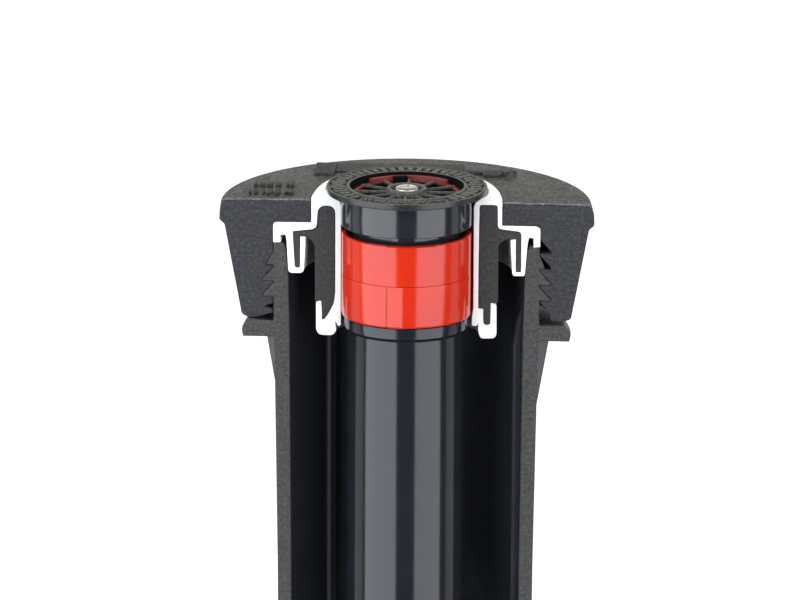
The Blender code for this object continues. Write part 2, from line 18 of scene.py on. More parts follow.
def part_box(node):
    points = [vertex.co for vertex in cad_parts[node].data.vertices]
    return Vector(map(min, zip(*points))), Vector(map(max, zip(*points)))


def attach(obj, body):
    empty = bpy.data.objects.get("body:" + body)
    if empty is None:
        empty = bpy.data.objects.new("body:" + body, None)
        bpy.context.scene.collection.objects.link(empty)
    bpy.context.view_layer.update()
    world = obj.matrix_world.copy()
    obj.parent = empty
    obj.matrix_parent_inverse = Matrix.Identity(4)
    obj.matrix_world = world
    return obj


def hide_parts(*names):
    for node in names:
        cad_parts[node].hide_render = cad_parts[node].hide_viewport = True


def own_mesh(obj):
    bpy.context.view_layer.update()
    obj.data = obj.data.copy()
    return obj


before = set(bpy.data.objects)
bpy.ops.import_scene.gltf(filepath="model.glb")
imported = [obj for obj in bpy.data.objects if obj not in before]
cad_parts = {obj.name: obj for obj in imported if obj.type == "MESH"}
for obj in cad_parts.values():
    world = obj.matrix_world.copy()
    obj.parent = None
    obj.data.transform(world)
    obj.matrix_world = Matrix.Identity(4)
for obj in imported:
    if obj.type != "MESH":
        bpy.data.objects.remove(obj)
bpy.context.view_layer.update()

bl_info = {
    "name": "Sectioned pop-up sprinkler",
    "version": (1, 0, 0),
    "blender": (4, 5, 0),
    "location": "3D View > Sidebar > Sprinkler",
    "description": "Builds the looks of a sectioned pop-up sprinkler round its packed frame",
    "category": "Add Mesh",
}

MM = 0.001
CAP_TOP = 153.0             # height of the cap's top above the inlet's lower end
CUT_HEIGHT = 17.0           # the case is whole below this height
FLOOR_TOP = 14.5            # inside floor of the case
FLANGE_UNDERSIDE = CAP_TOP - 21.7
CASE_WALL = 20.22           # outer radius of the case's wall inside the cap
THREAD_FLANKS = (7.96, 10.44, 12.92, 15.4)   # lower flanks of the cap's thread, downwards
RIB_ANGLES = (15, 135)      # guide ribs inside the case
FRONT = -90.0               # direction of the missing half, in degrees
SAWN_EDGE = 0.11            # chamfer left by deburring the sawn faces
SAWN_LEAD = 1.6             # degrees from a sawn face to the first column that is fully turned
SAWN = 1                    # material slot of a sectioned piece's sawn faces
SHARP_ANGLE = math.radians(32)               # edges sharper than this aren't smoothed over
MERGE_DISTANCE = 0.0005 * MM                 # points closer than this become one

# Node kinds, and the sockets of a Mix node that is set to colours
NOISE, MAP_RANGE, MIX = "ShaderNodeTexNoise", "ShaderNodeMapRange", "ShaderNodeMix"
VECTOR_MATH, BUMP = "ShaderNodeVectorMath", "ShaderNodeBump"
FACTOR, UNDER, OVER, MIXED = 0, 6, 7, 2


def to_linear(code):
    """An sRGB colour, such as #4C4C4E, as linear red, green and blue."""
    channels = [int(code[start:start + 2], 16) / 255 for start in (1, 3, 5)]
    return tuple(c / 12.92 if c <= 0.04045 else ((c + 0.055) / 1.055) ** 2.4 for c in channels)


def paint(name, code, description):
    """A colour's setting, from its hex code."""
    return FloatVectorProperty(
        name=name, description=description, subtype="COLOR", size=3, min=0.0, max=1.0,
        default=to_linear(code),
    )


def metres(name, default, description):
    """A length's setting."""
    return FloatProperty(name=name, description=description, default=default, unit="LENGTH")


def degrees(name, default, description):
    """An angle's setting. Blender keeps it in radians."""
    return FloatProperty(
        name=name, description=description, default=math.radians(default), subtype="ANGLE",
    )


def watts(name, default, description):
    """A light's power."""
    return FloatProperty(name=name, description=description, default=default, min=0.0)


class SprinklerColours(bpy.types.PropertyGroup):
    cap: paint("Cap", "#3A3935", "Moulded ABS of the cap")
    cap_sawn: paint("Cap, sawn", "#2C2C2F", "Sawn face of the cap")
    case: paint("Case", "#303238", "Moulded ABS of the case")
    case_sawn: paint("Case, sawn", "#3B3A39", "Sawn face of the case")
    core_sawn: paint("Seal core, sawn", "#303031", "Sawn face of the seal core")
    seal: paint("Wiper seal", "#F0EFED", "White elastomer of the wiper seal")
    gloss_black: paint("Stem", "#1C1E23", "Black acetal of the riser's stem")
    satin_black: paint("Deflector", "#1F2021", "Black acetal of the deflector and ratchet")
    red: paint("Nozzle", "#C3280F", "Red acetal of the nozzle")
    mesh: paint("Filter", "#93979A", "Natural nylon of the filter's mesh")


class SprinklerSizes(bpy.types.PropertyGroup):
    cap_radius: metres("Cap radius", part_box("body_cap")[1].x, "Outer radius of the cap's rim")
    cap_hole: metres("Cap hole", 0.01455, "Radius of the cap's centre hole")
    nozzle_radius: metres(
        "Nozzle radius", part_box("arc_collar")[1].x, "Outer radius of the nozzle's two red rings",
    )
    stem_radius: metres("Stem radius", 0.00895, "Outer radius of the riser's stem")
    spring_wire: metres("Spring wire", 0.00065, "Radius of the spring's wire")
    spring_turns: FloatProperty(
        name="Spring turns", description="Turns of the retraction spring", default=6.5,
    )
    spokes: IntProperty(
        name="Spokes", description="Spokes in the deflector's recess", default=12, min=3,
    )


class StudioSettings(bpy.types.PropertyGroup):
    azimuth: degrees("Azimuth", 2.93, "Camera's turn to the right of straight on")
    elevation: degrees("Elevation", 14.57, "Camera's angle above the horizon")
    roll: degrees("Roll", 0.28, "Camera's turn about its own line of sight")
    distance: metres("Distance", 1.744, "From the camera to the point that it aims at")
    lens: FloatProperty(
        name="Lens", description="Focal length, in millimetres, on a 36 mm sensor", default=517.6,
    )
    aim_across: metres("Aim across", -0.00095, "Aim point, to the right of the cap's centre")
    aim_up: metres("Aim up", -0.01509, "Aim point, above the cap's centre in the picture")
    left_box: watts("Left soft box", 3.3, "Power of the wide soft box on the left, in watts")
    right_box: watts("Right soft box", 2.15, "Power of the narrow soft box on the right, in watts")
    top_box: watts("Top soft box", 5.0, "Power of the soft box overhead, in watts")
    rear_box: watts("Rear soft box", 1.7, "Power of the fill light behind, in watts")
    side_boxes: watts("Side fills", 0.6, "Power of each dim card beside the object, in watts")


# ---------------------------------------------------------------- materials

def add_node(tree, kind, inputs, output=0, **settings):
    """Adds a node with its settings and links, and returns one of its outputs.

    inputs holds a value, or another node's output, for each input socket.
    """
    node = tree.nodes.new(kind)
    for name, value in settings.items():
        setattr(node, name, value)
    for socket, value in inputs.items():
        if isinstance(value, bpy.types.NodeSocket):
            tree.links.new(value, node.inputs[socket])
        else:
            node.inputs[socket].default_value = value
    return node.outputs[output]


def start_material(name, roughness, **sockets):
    """A material with its shader's all-over values set, and coordinates that count millimetres."""
    material = bpy.data.materials.new(name)
    material.use_nodes = True
    tree = material.node_tree
    shader = tree.nodes["Principled BSDF"]
    shader.inputs["Roughness"].default_value = roughness
    for socket, value in sockets.items():
        shader.inputs[socket.replace("_", " ")].default_value = value
    place = add_node(tree, "ShaderNodeTexCoord", {}, "Object")
    mm = add_node(tree, VECTOR_MATH, {0: place, "Scale": 1 / MM}, operation="SCALE")
    return material, tree, shader, mm


def shaded(colour, share):
    """A colour with its channels scaled, with the opacity that a node's socket wants."""
    return (*(channel * share for channel in colour[:3]), 1.0)


def laid_over(tree, under, over, pattern, start, end, low=0.0, high=1.0):
    """A colour that goes from under towards over where a pattern's value goes from start to end."""
    cover = add_node(tree, MAP_RANGE, {
        "Value": pattern, "From Min": start, "From Max": end, "To Min": low, "To Max": high,
    })
    sockets = {FACTOR: cover, UNDER: under, OVER: over}
    return add_node(tree, MIX, sockets, MIXED, data_type="RGBA")


def finish_surface(tree, shader, colour, pattern, smoothest, roughest, height, depth):
    """Gives a shader its colour, a roughness that follows a pattern, and a relief.

    depth is the relief's, in millimetres.
    """
    rough = add_node(tree, MAP_RANGE, {
        "Value": pattern, "From Min": 0.3, "From Max": 0.7, "To Min": smoothest, "To Max": roughest,
    })
    relief = add_node(tree, BUMP, {"Height": height, "Distance": depth * MM, "Strength": 1.0})
    for socket, source in (("Base Color", colour), ("Roughness", rough), ("Normal", relief)):
        tree.links.new(source, shader.inputs[socket])


def moulded_plastic(name, colour, roughness, grain_size, grain_depth, mottle=0.12, **sockets):
    """Moulded plastic: an even, slightly mottled skin with the tool's fine grain pressed into it.

    Clouds of tone are 5 mm across. The real grain is too fine to show, and is drawn at grain_size.
    """
    material, tree, shader, mm = start_material(name, roughness, **sockets)
    cloud = add_node(tree, NOISE, {"Vector": mm, "Scale": 1 / 5.0, "Detail": 2.0, "Roughness": 0.6})
    fine = add_node(
        tree, NOISE, {"Vector": mm, "Scale": 1 / grain_size, "Detail": 4.0, "Roughness": 0.65},
    )
    base = laid_over(tree, shaded(colour, 1 - mottle), shaded(colour, 1 + mottle), cloud, 0.3, 0.7)
    smoothest, roughest = roughness * 0.85, min(roughness * 1.2, 1.0)
    finish_surface(tree, shader, base, fine, smoothest, roughest, fine, grain_depth)
    return material


def grained_abs(name, colour, light=3.8, size=0.7):
    """Spark-eroded plastic: a coarse, dry grain, with pale specks painted in as glints off it.

    The real grain is about 0.1 mm across. It is drawn at 0.3 to 0.7 mm, since it is too fine to show.
    """
    material, tree, shader, mm = start_material(name, 0.52, IOR=1.5)
    coarse = add_node(tree, NOISE, {"Vector": mm, "Scale": 1 / size, "Detail": 5.0, "Roughness": 0.85})
    glint_specks = add_node(
        tree, NOISE, {"Vector": mm, "Scale": 1 / (size * 0.85), "Detail": 4.0, "Roughness": 0.9},
    )
    cloud = add_node(tree, NOISE, {"Vector": mm, "Scale": 1 / 6.0, "Detail": 3.0, "Roughness": 0.6})
    worn = laid_over(tree, shaded(colour, 0.25), shaded(colour, 1.7), coarse, 0.42, 0.58)
    # Pale specks, light times the colour: painted glints on the grain
    base = laid_over(tree, worn, shaded(colour, light), glint_specks, 0.55, 0.62)
    finish_surface(tree, shader, base, cloud, 0.46, 0.58, coarse, 0.3)
    return material


def sawn_plastic(name, colour, streak=0.28, speckle=2.8):
    """Sawn plastic: matt, with faint level saw lines and pale crumbs pressed into the face.

    Saw lines and crumbs are about 0.1 mm across and are drawn at 0.3 to 0.55 mm, to show at all.
    """
    material, tree, shader, mm = start_material(name, 0.62, IOR=1.5, Specular_IOR_Level=0.3)
    level = add_node(tree, VECTOR_MATH, {0: mm, 1: (1 / 2.2, 1 / 9.0, 1 / 0.34)}, operation="MULTIPLY")
    lines = add_node(tree, NOISE, {"Vector": level, "Scale": 1.0, "Detail": 4.0, "Roughness": 0.8})
    cloud = add_node(tree, NOISE, {"Vector": mm, "Scale": 1 / 2.2, "Detail": 4.0, "Roughness": 0.65})
    crumbs = add_node(tree, NOISE, {"Vector": mm, "Scale": 1 / 0.55, "Detail": 4.0, "Roughness": 0.9})
    base = laid_over(tree, shaded(colour, 1 - streak), shaded(colour, 1 + streak), lines, 0.42, 0.58)
    base = laid_over(tree, base, shaded(colour, 1.3), cloud, 0.4, 0.7, 0.0, 0.5)
    base = laid_over(tree, base, shaded(colour, speckle), crumbs, 0.54, 0.65, 0.0, 0.9)
    pitted = laid_over(tree, base, shaded(colour, 0.3), crumbs, 0.36, 0.46, 0.85, 0.0)
    height = add_node(tree, "ShaderNodeMath", {0: lines, 1: crumbs}, operation="ADD")
    finish_surface(tree, shader, pitted, cloud, 0.55, 0.72, height, 0.05)
    return material


def turned_steel(name, colour, roughness, ring):
    """Steel turned or drawn to size: bright, with fine rings that stretch its highlights.

    Real rings are under 0.1 mm apart and are drawn at the size that ring gives, to show.
    """
    material, tree, shader, mm = start_material(name, roughness, Metallic=1.0)
    level = add_node(tree, VECTOR_MATH, {0: mm, 1: (1 / 3.0, 1 / 3.0, 1 / ring)}, operation="MULTIPLY")
    rings = add_node(tree, NOISE, {"Vector": level, "Scale": 1.0, "Detail": 4.0, "Roughness": 0.6})
    cloud = add_node(tree, NOISE, {"Vector": mm, "Scale": 1 / 0.8, "Detail": 3.0, "Roughness": 0.6})
    base = laid_over(tree, shaded(colour, 0.82), shaded(colour, 1.0), rings, 0.3, 0.7)
    finish_surface(tree, shader, base, cloud, roughness * 0.8, roughness * 1.25, rings, 0.02)
    return material


def make_materials():
    """Every finish of the sprinkler, by a short name."""
    paints = bpy.context.scene.sprinkler_colours
    return {
        # ABS cap, spark-eroded tool: reads as dry grey stone, with pale specks painted as glints
        "cap": grained_abs("abs_spark_eroded_cap", paints.cap),
        # The same ABS on raised marks, painted darker: painted shade, as falls on moulded lettering
        "marks": grained_abs("abs_marks_painted_shade", shaded(paints.cap, 0.4)),
        # The crumbled edge that a saw leaves along the cap's top, painted pale: partly a painted
        # highlight
        "burr": sawn_plastic("abs_sawn_burr_painted_highlight", shaded(paints.cap_sawn, 4.5), 0.3, 2.2),
        "cap_sawn": sawn_plastic("abs_sawn_cap", paints.cap_sawn),
        # ABS case, polished tool: darker, with a soft sheen down the bore
        "case": moulded_plastic(
            "abs_moulded_case", paints.case, 0.34, 0.5, 0.02, IOR=1.52
        ),
        "case_sawn": sawn_plastic("abs_sawn_case", paints.case_sawn, 0.24, 2.3),
        # Polypropylene core, moulded: waxy and plain
        "core": moulded_plastic("polypropylene_moulded_core", paints.core_sawn, 0.45, 0.6, 0.02),
        "core_sawn": sawn_plastic("polypropylene_sawn_core", paints.core_sawn, 0.14, 2.1),
        # Thermoplastic elastomer, moulded: chalk white, almost no highlight
        "seal": moulded_plastic(
            "elastomer_moulded_seal", paints.seal, 0.55, 0.7, 0.015, 0.02, IOR=1.48
        ),
        # Acetal, polished tool: black with long mirror-like bands
        "gloss_black": moulded_plastic(
            "acetal_polished_black", paints.gloss_black, 0.13, 2.4, 0.004, 0.1, IOR=1.48
        ),
        # Acetal, satin tool: black with a soft, broken sheen
        "satin_black": moulded_plastic(
            "acetal_satin_black", paints.satin_black, 0.27, 0.5, 0.012, 0.15, IOR=1.48
        ),
        # Acetal on the disc's top, hub and spokes, painted lighter as light falling on it, with painted
        # glints
        "disc_black": grained_abs("acetal_black_painted_lit", to_linear("#52524C"), 1.9, 0.3),
        # Same acetal on the skirt, polished hardest and painted lighter as light: the brightest bands
        # of all
        "skirt_black": moulded_plastic(
            "acetal_black_painted_lighter", shaded(paints.gloss_black, 1.3), 0.12, 2.4, 0.004, 0.1, IOR=1.56
        ),
        # Acetal, polished tool, coloured right through: saturated red with pink reflections
        "red": moulded_plastic(
            "acetal_polished_red", paints.red, 0.15, 2.4, 0.004, 0.03, IOR=1.48
        ),
        # Acetal left rough by the tool in the deep recess, painted near black as shade: takes almost no
        # light
        "recess_shade": moulded_plastic(
            "acetal_black_painted_shade", to_linear("#070708"), 0.75, 0.8, 0.01, Specular_IOR_Level=0.1
        ),
        # The nozzle's red acetal inside the recess, painted darker and duller as the shade there
        "shaded_red": moulded_plastic(
            "acetal_red_painted_shade", to_linear("#6E2623"), 0.5, 1.2, 0.01, 0.2, IOR=1.48
        ),
        # Nylon, moulded fine: pale, translucent looking mesh
        "filter": moulded_plastic("nylon_moulded_filter", paints.mesh, 0.45, 0.4, 0.02),
        # EPDM rubber, moulded: matt black, dusty
        "rubber": moulded_plastic(
            "epdm_moulded_rubber", to_linear("#1C1C1D"), 0.78, 0.3, 0.03, 0.25
        ),
        # Stainless steel, turned on a lathe: warm and bright
        "stainless": turned_steel("stainless_steel_turned", to_linear("#FAF3E6"), 0.4, 0.12),
        # Spring steel, drawn wire: cooler, with lines along the wire
        "spring": turned_steel("spring_steel_drawn", to_linear("#C2C3C4"), 0.26, 0.3),
    }


# ---------------------------------------------------------------- shapes

def down(outline):
    """Turns (radius, depth below the cap's top) into (radius, height above the inlet)."""
    return [(point[0], CAP_TOP - point[1], *point[2:]) for point in outline]


def rounded(outline):
    """Rounds each corner of a closed outline that gives a third number, its size."""
    steps = 4
    result = []
    for index, corner in enumerate(outline):
        here = Vector(corner[:2])
        if len(corner) == 2:
            result.append(here)
            continue
        ends = []
        for other in (outline[index - 1], outline[(index + 1) % len(outline)]):
            edge = Vector(other[:2]) - here
            reach = min(corner[2], edge.length * 0.48)
            ends.append(here + edge.normalized() * reach)
        for step in range(steps + 1):
            t = step / steps
            result.append(ends[0] * (1 - t) ** 2 + here * 2 * t * (1 - t) + ends[1] * t ** 2)
    return [(point.x, point.y) for point in result]


def inset(outline, width):
    """A closed outline moved inwards by width, edge by edge. Corner sizes are kept.

    The reach is held back at sharp corners, where it would run off to a far point.
    """
    ring = [Vector(point[:2]) for point in outline]
    count = len(ring)
    area = sum(ring[i].x * ring[i - 1].y - ring[i - 1].x * ring[i].y for i in range(count))
    side = 1.0 if area > 0 else -1.0
    result = []
    for index, here in enumerate(ring):
        before = (here - ring[index - 1]).normalized()
        after = (ring[(index + 1) % count] - here).normalized()
        first = Vector((before.y, -before.x)) * side
        second = Vector((after.y, -after.x)) * side
        middle = first + second
        reach = width * 2 / max(middle.length_squared, 0.7)
        moved = here + middle * reach
        result.append((moved.x, moved.y, *outline[index][2:]))
    return result


def apart(first, second):
    """The angle between two directions, in degrees, from 0 to 180."""
    return abs((first - second + 180) % 360 - 180)


def both_sides(*angles, nudge=0.1):
    """Angles just before and just after each given one, so that a step there comes out sharp."""
    return [(angle + side) % 360 for angle in angles for side in (-nudge, nudge)]


def strips(columns, count, wrap=False):
    """Quads between neighbouring columns of count points each, back to the first one if wrap."""
    faces = []
    for column in range(columns if wrap else columns - 1):
        here, there = column * count, (column + 1) % columns * count
        for row in range(count):
            after = (row + 1) % count
            faces.append((here + row, here + after, there + after, there + row))
    return faces


def new_piece(name, vertices, faces, materials, cut_faces=()):
    """A smooth-shaded mesh object from points in millimetres. Faces named in cut_faces are sawn."""
    mesh = bpy.data.meshes.new(name)
    mesh.from_pydata([tuple(v) for v in np.array(vertices, float) * MM], [], faces)
    for material in materials:
        mesh.materials.append(material)
    for index in cut_faces:
        mesh.polygons[index].material_index = SAWN
    shape = bmesh.new()
    shape.from_mesh(mesh)
    bmesh.ops.remove_doubles(shape, verts=shape.verts, dist=MERGE_DISTANCE)
    bmesh.ops.recalc_face_normals(shape, faces=shape.faces)
    shape.to_mesh(mesh)
    shape.free()
    mesh.shade_smooth()
    mesh.set_sharp_from_angle(angle=SHARP_ANGLE)
    obj = bpy.data.objects.new(name, mesh)
    bpy.context.scene.collection.objects.link(obj)
    return obj


def turned(name, outline, materials, steps=192, shape=None, extra_angles=()):
    """A whole turned piece. shape may move an outline's points at each angle, in degrees."""
    points = np.array(rounded(outline), float)
    angles = sorted({*np.linspace(0, 360, steps, endpoint=False), *extra_angles})
    vertices = []
    for angle in angles:
        ring = shape(points.copy(), angle) if shape else points
        turn = math.radians(angle)
        for radius, height in ring:
            vertices.append((radius * math.cos(turn), radius * math.sin(turn), height))
    faces = strips(len(angles), len(points), wrap=True)
    return new_piece(name, vertices, faces, materials)


def half_turned(name, right, left, materials, steps=120, shape=None, edge=SAWN_EDGE):
    """The rear half of a turned piece, sawn level with its axis, with a deburred edge.

    right and left are the outlines seen in the two sawn faces, with matching corners.
    """
    right_cut, left_cut = rounded(inset(right, edge)), rounded(inset(left, edge))
    right, left = np.array(rounded(right), float), np.array(rounded(left), float)
    count = len(right)
    columns = [
        [(radius, 0.0, height) for radius, height in right_cut],
        [(radius, edge, height) for radius, height in right],
    ]
    first = math.radians(SAWN_LEAD)
    for step in range(steps + 1):
        angle = first + (math.pi - 2 * first) * step / steps
        share = 0.5 - 0.5 * math.cos(angle)
        ring = right * (1 - share) + left * share
        if shape:
            ring = shape(ring, math.degrees(angle))
        columns.append([(r * math.cos(angle), r * math.sin(angle), h) for r, h in ring])
    columns.append([(-radius, edge, height) for radius, height in left])
    columns.append([(-radius, 0.0, height) for radius, height in left_cut])
    vertices = [point for column in columns for point in column]
    faces = strips(len(columns), count)
    faces += [tuple(range(count)), tuple(range(len(vertices) - count, len(vertices)))]
    cut_faces = [*range(count), *range(len(faces) - count - 2, len(faces))]
    return new_piece(name, vertices, faces, materials, cut_faces)


def bar(size, centre, soften, about=0.0):
    """A bevelled bar, then turned about the axis: (vertices, faces) in millimetres."""
    shape = bmesh.new()
    bmesh.ops.create_cube(shape, size=1.0)
    bmesh.ops.scale(shape, vec=Vector(size), verts=shape.verts)
    bmesh.ops.bevel(
        shape, geom=list(shape.edges), offset=min(soften, min(size) * 0.35), segments=2,
        profile=0.6, affect="EDGES",
    )
    place = Matrix.Rotation(math.radians(about), 4, "Z") @ Matrix.Translation(Vector(centre))
    bmesh.ops.transform(shape, matrix=place, verts=shape.verts)
    vertices = [tuple(v.co) for v in shape.verts]
    faces = [tuple(v.index for v in f.verts) for f in shape.faces]
    shape.free()
    return vertices, faces


def fin(outline, thickness, angle):
    """A flat fin standing out from the axis at an angle: (vertices, faces) in millimetres."""
    turn = math.radians(angle)
    out = Vector((math.cos(turn), math.sin(turn), 0.0))
    side = Vector((-math.sin(turn), math.cos(turn), 0.0))
    count = len(outline)
    thin = inset(outline, thickness * 0.2)
    vertices = []
    for ring, offset in ((thin, -0.5), (outline, -0.3), (outline, 0.3), (thin, 0.5)):
        for radius, height in ring:
            point = out * radius + side * offset * thickness
            vertices.append((point.x, point.y, height))
    faces = [tuple(range(count)), tuple(range(3 * count, 4 * count)), *strips(4, count)]
    return vertices, faces


def loose_piece(name, parts, materials):
    """One object from several (vertices, faces) parts."""
    vertices, faces = [], []
    for part_vertices, part_faces in parts:
        start = len(vertices)
        vertices += part_vertices
        faces += [tuple(start + index for index in face) for face in part_faces]
    return new_piece(name, vertices, faces, materials)


def join(main, *others):
    """Adds other pieces' meshes to the main piece, with their materials."""
    shape = bmesh.new()
    shape.from_mesh(main.data)
    for other in others:
        slots = []
        for material in other.data.materials:
            if material.name not in main.data.materials:
                main.data.materials.append(material)
            slots.append(main.data.materials.find(material.name))
        before = len(shape.faces)
        shape.from_mesh(other.data)
        shape.faces.ensure_lookup_table()
        for face in shape.faces[before:]:
            face.material_index = slots[face.material_index]
        bpy.data.objects.remove(other, do_unlink=True)
    shape.to_mesh(main.data)
    shape.free()
    main.data.set_sharp_from_angle(angle=SHARP_ANGLE)
    return main


def settle(piece, body, slot, *nodes):
    """Hands a finished piece to the frame: its body and the nodes that it stands for. slot is not used.
    """
    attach(piece, body)
    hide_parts(*nodes)


# ---------------------------------------------------------------- the sawn housing

def thread_ridge(flank, crest, root):
    """A buttress ridge on an outer wall: sloped above, level below."""
    return [(root, flank - 2.15, 0.1), (crest, flank - 0.32, 0.12), (crest, flank, 0.06), (root, flank)]


def thread_groove(flank, depth, wall):
    """The groove that takes thread_ridge, run upwards along an inner wall."""
    slack = wall - CASE_WALL
    return [
        (wall, flank + slack), (depth, flank + slack), (depth, flank - 0.36), (wall, flank - 2.22),
    ]


def case_outline(first_crest, flange_rise):
    """Section of the case's wall from its rim down to where it is whole.

    The two sawn faces differ in their first thread crest and in how far the flange's top slopes.
    """
    outline = [(18.75, 6.95, 0.15), (20.1, 6.85, 0.2), (CASE_WALL, 7.05)]
    for flank, crest in zip(THREAD_FLANKS[1:], (first_crest, 21.85, 21.85)):
        outline += thread_ridge(flank, crest, CASE_WALL)
    outline += [
        (20.2, 15.6),
        (20.2, 19.25, 0.15),
        (24.25, 19.25 - flange_rise, 0.4),
        (25.1, 20.45, 0.5),
        (24.85, 21.7, 0.15),
        (20.15, 21.7, 0.3),
        (20.0, 27.0, 2.0),
        (19.5, 57.0),
        (18.8, CAP_TOP - CUT_HEIGHT),
        (17.16, CAP_TOP - CUT_HEIGHT),
        (17.4, 57.0),
        (17.75, 22.0, 2.0),
        (18.0, 11.5, 1.0),
        (18.4, 7.7, 0.5),
    ]
    return down(outline)


def base_outline():
    """Section, as (radius, height), of the case below the cut: floor, boss and inlet thread."""
    ridges, pitch, crest = 6, 1.814, 0.95
    mouth, taper = 10.5, 1 / 32                 # radius at the inlet's end, and its loss upwards
    outline = [
        (18.8, CUT_HEIGHT),
        (18.65, 13.8, 0.8),
        (17.9, 12.6, 0.8),
        (14.6, 12.2, 0.4),
        (14.0, 11.6, 0.3),
        (14.0, 0.0, 0.5),
        (mouth, 0.0, 0.4),
    ]
    for ridge in range(ridges):
        height = 0.9 + ridge * pitch
        root = mouth - height * taper
        outline += [(root, height, 0.15), (root - crest, height + pitch / 2, 0.15)]
    outline += [
        (10.1, 11.7, 0.1),
        (10.1, 12.5, 0.1),
        (8.0, 12.5, 0.2),
        (8.0, FLOOR_TOP, 0.3),
        (16.6, FLOOR_TOP, 0.5),
        (17.12, 15.2, 0.4),
        (17.16, CUT_HEIGHT),
    ]
    return outline


def build_case(finish):
    """The case: a sawn wall, a whole base, gussets under the flange, guide ribs and inlet ribs."""
    plastics = [finish["case"], finish["case_sawn"]]
    wall = half_turned("case", case_outline(20.95, 0.0), case_outline(21.3, 0.4), plastics)
    base = turned("case_base", base_outline(), plastics)
    for face in base.data.polygons:
        if face.normal.z > 0.9 and abs(face.center.z - CUT_HEIGHT * MM) < 0.01 * MM:
            face.material_index = SAWN
    under, point = FLANGE_UNDERSIDE, FLANGE_UNDERSIDE - 13.6     # the gussets taper to a point
    gusset = [
        (19.2, under + 0.4), (22.4, under + 0.4), (22.3, under - 0.4), (19.9, point), (19.2, point),
    ]
    guide = [
        (17.3, FLOOR_TOP - 0.4), (17.95, CUT_HEIGHT + 30.0), (18.05, 134.5), (17.9, 135.5),
        (17.2, 133.4), (16.6, 129.5), (16.2, FLOOR_TOP - 0.4),
    ]
    fins = [fin(gusset, 1.5, 15 + index * 30) for index in range(6)]
    fins += [fin(guide, 1.8, angle) for angle in RIB_ANGLES]
    for index in range(8):
        fins.append(bar((4.4, 2.0, 11.2), (15.2, 0.0, 6.1), 0.4, about=22.5 + index * 45))
    case = join(wall, base, loose_piece("case_ribs", fins, plastics[:1]))
    settle(case, "case", "case_abs", "case_body")


def cap_outline(hole, radius, grooves, lower, wall, brow):
    """Section of the cap, from the centre hole's edge round the outside.

    lower is the outline below the thread, wall the thread's inner wall, and brow the width of the
    worn band along the top edge.
    """
    outline = [
        (hole, 0.3, 0.1),
        (hole + 0.3, 0.0, 0.15),
        (21.5, 0.1),
        (radius - brow, 0.32, brow * 0.6),
        (radius - 0.05, 2.2),
        (radius, 3.45, 0.25),
        (radius - 0.8, 4.15, 0.2),
        (radius - 3.45, 18.2, 0.35),
        *lower,
    ]
    for flank, depth in zip(reversed(THREAD_FLANKS), grooves):
        outline += thread_groove(flank, depth, wall)
    outline += [(wall + 0.02, 4.8, 0.3), (20.3, 3.65, 0.55), (hole, 3.65, 0.1)]
    return down(outline)


def moulded_marks(draw):
    """Raised marks on the cap's top: a plate with a slot, a step, and rows of plain dashes."""
    marks = [
        bar((3.1, 6.9, 0.8), (-13.4, 18.2, CAP_TOP), 0.06),
        bar((19.6, 5.4, 0.8), (-2.1, 19.8, CAP_TOP - 0.2), 0.07),
        bar((2.3, 1.4, 0.8), (9.6, 17.5, CAP_TOP + 0.05), 0.06),
        bar((2.7, 3.0, 0.8), (12.25, 16.9, CAP_TOP), 0.06),
    ]
    for height, start, end in ((7.9, -23.4, -17.0), (3.2, -24.0, -17.4)):
        across = start
        while across < end:
            width = draw.choice((0.35, 0.5, 0.8))
            depth = draw.choice((1.6, 2.2, 2.6))
            marks.append(bar((width, depth, 0.6), (across, height, CAP_TOP + 0.1), 0.05))
            across += width + draw.choice((0.35, 0.5, 0.6))
    for angle in np.linspace(50, 130, 24):
        marks.append(bar((0.6, 0.7, 0.4), (16.6, 0.0, CAP_TOP), 0.06, about=angle))
    return marks


def saw_burr(draw, hole, radius):
    """Crumbs left by the saw along the top edge of the cap's two sawn faces."""
    crumbs = []
    for side in (-1, 1):
        across = hole + 0.2
        while across < radius - 1.2:
            length = draw.uniform(0.3, 1.3)
            height = draw.uniform(0.1, 0.24)
            centre = (side * (across + length / 2), 0.04, CAP_TOP - 0.1 - height / 2)
            crumbs.append(bar((length, 0.16, height), centre, 0.04))
            across += length + draw.choice((0.02, 0.05, 0.3))
    return crumbs


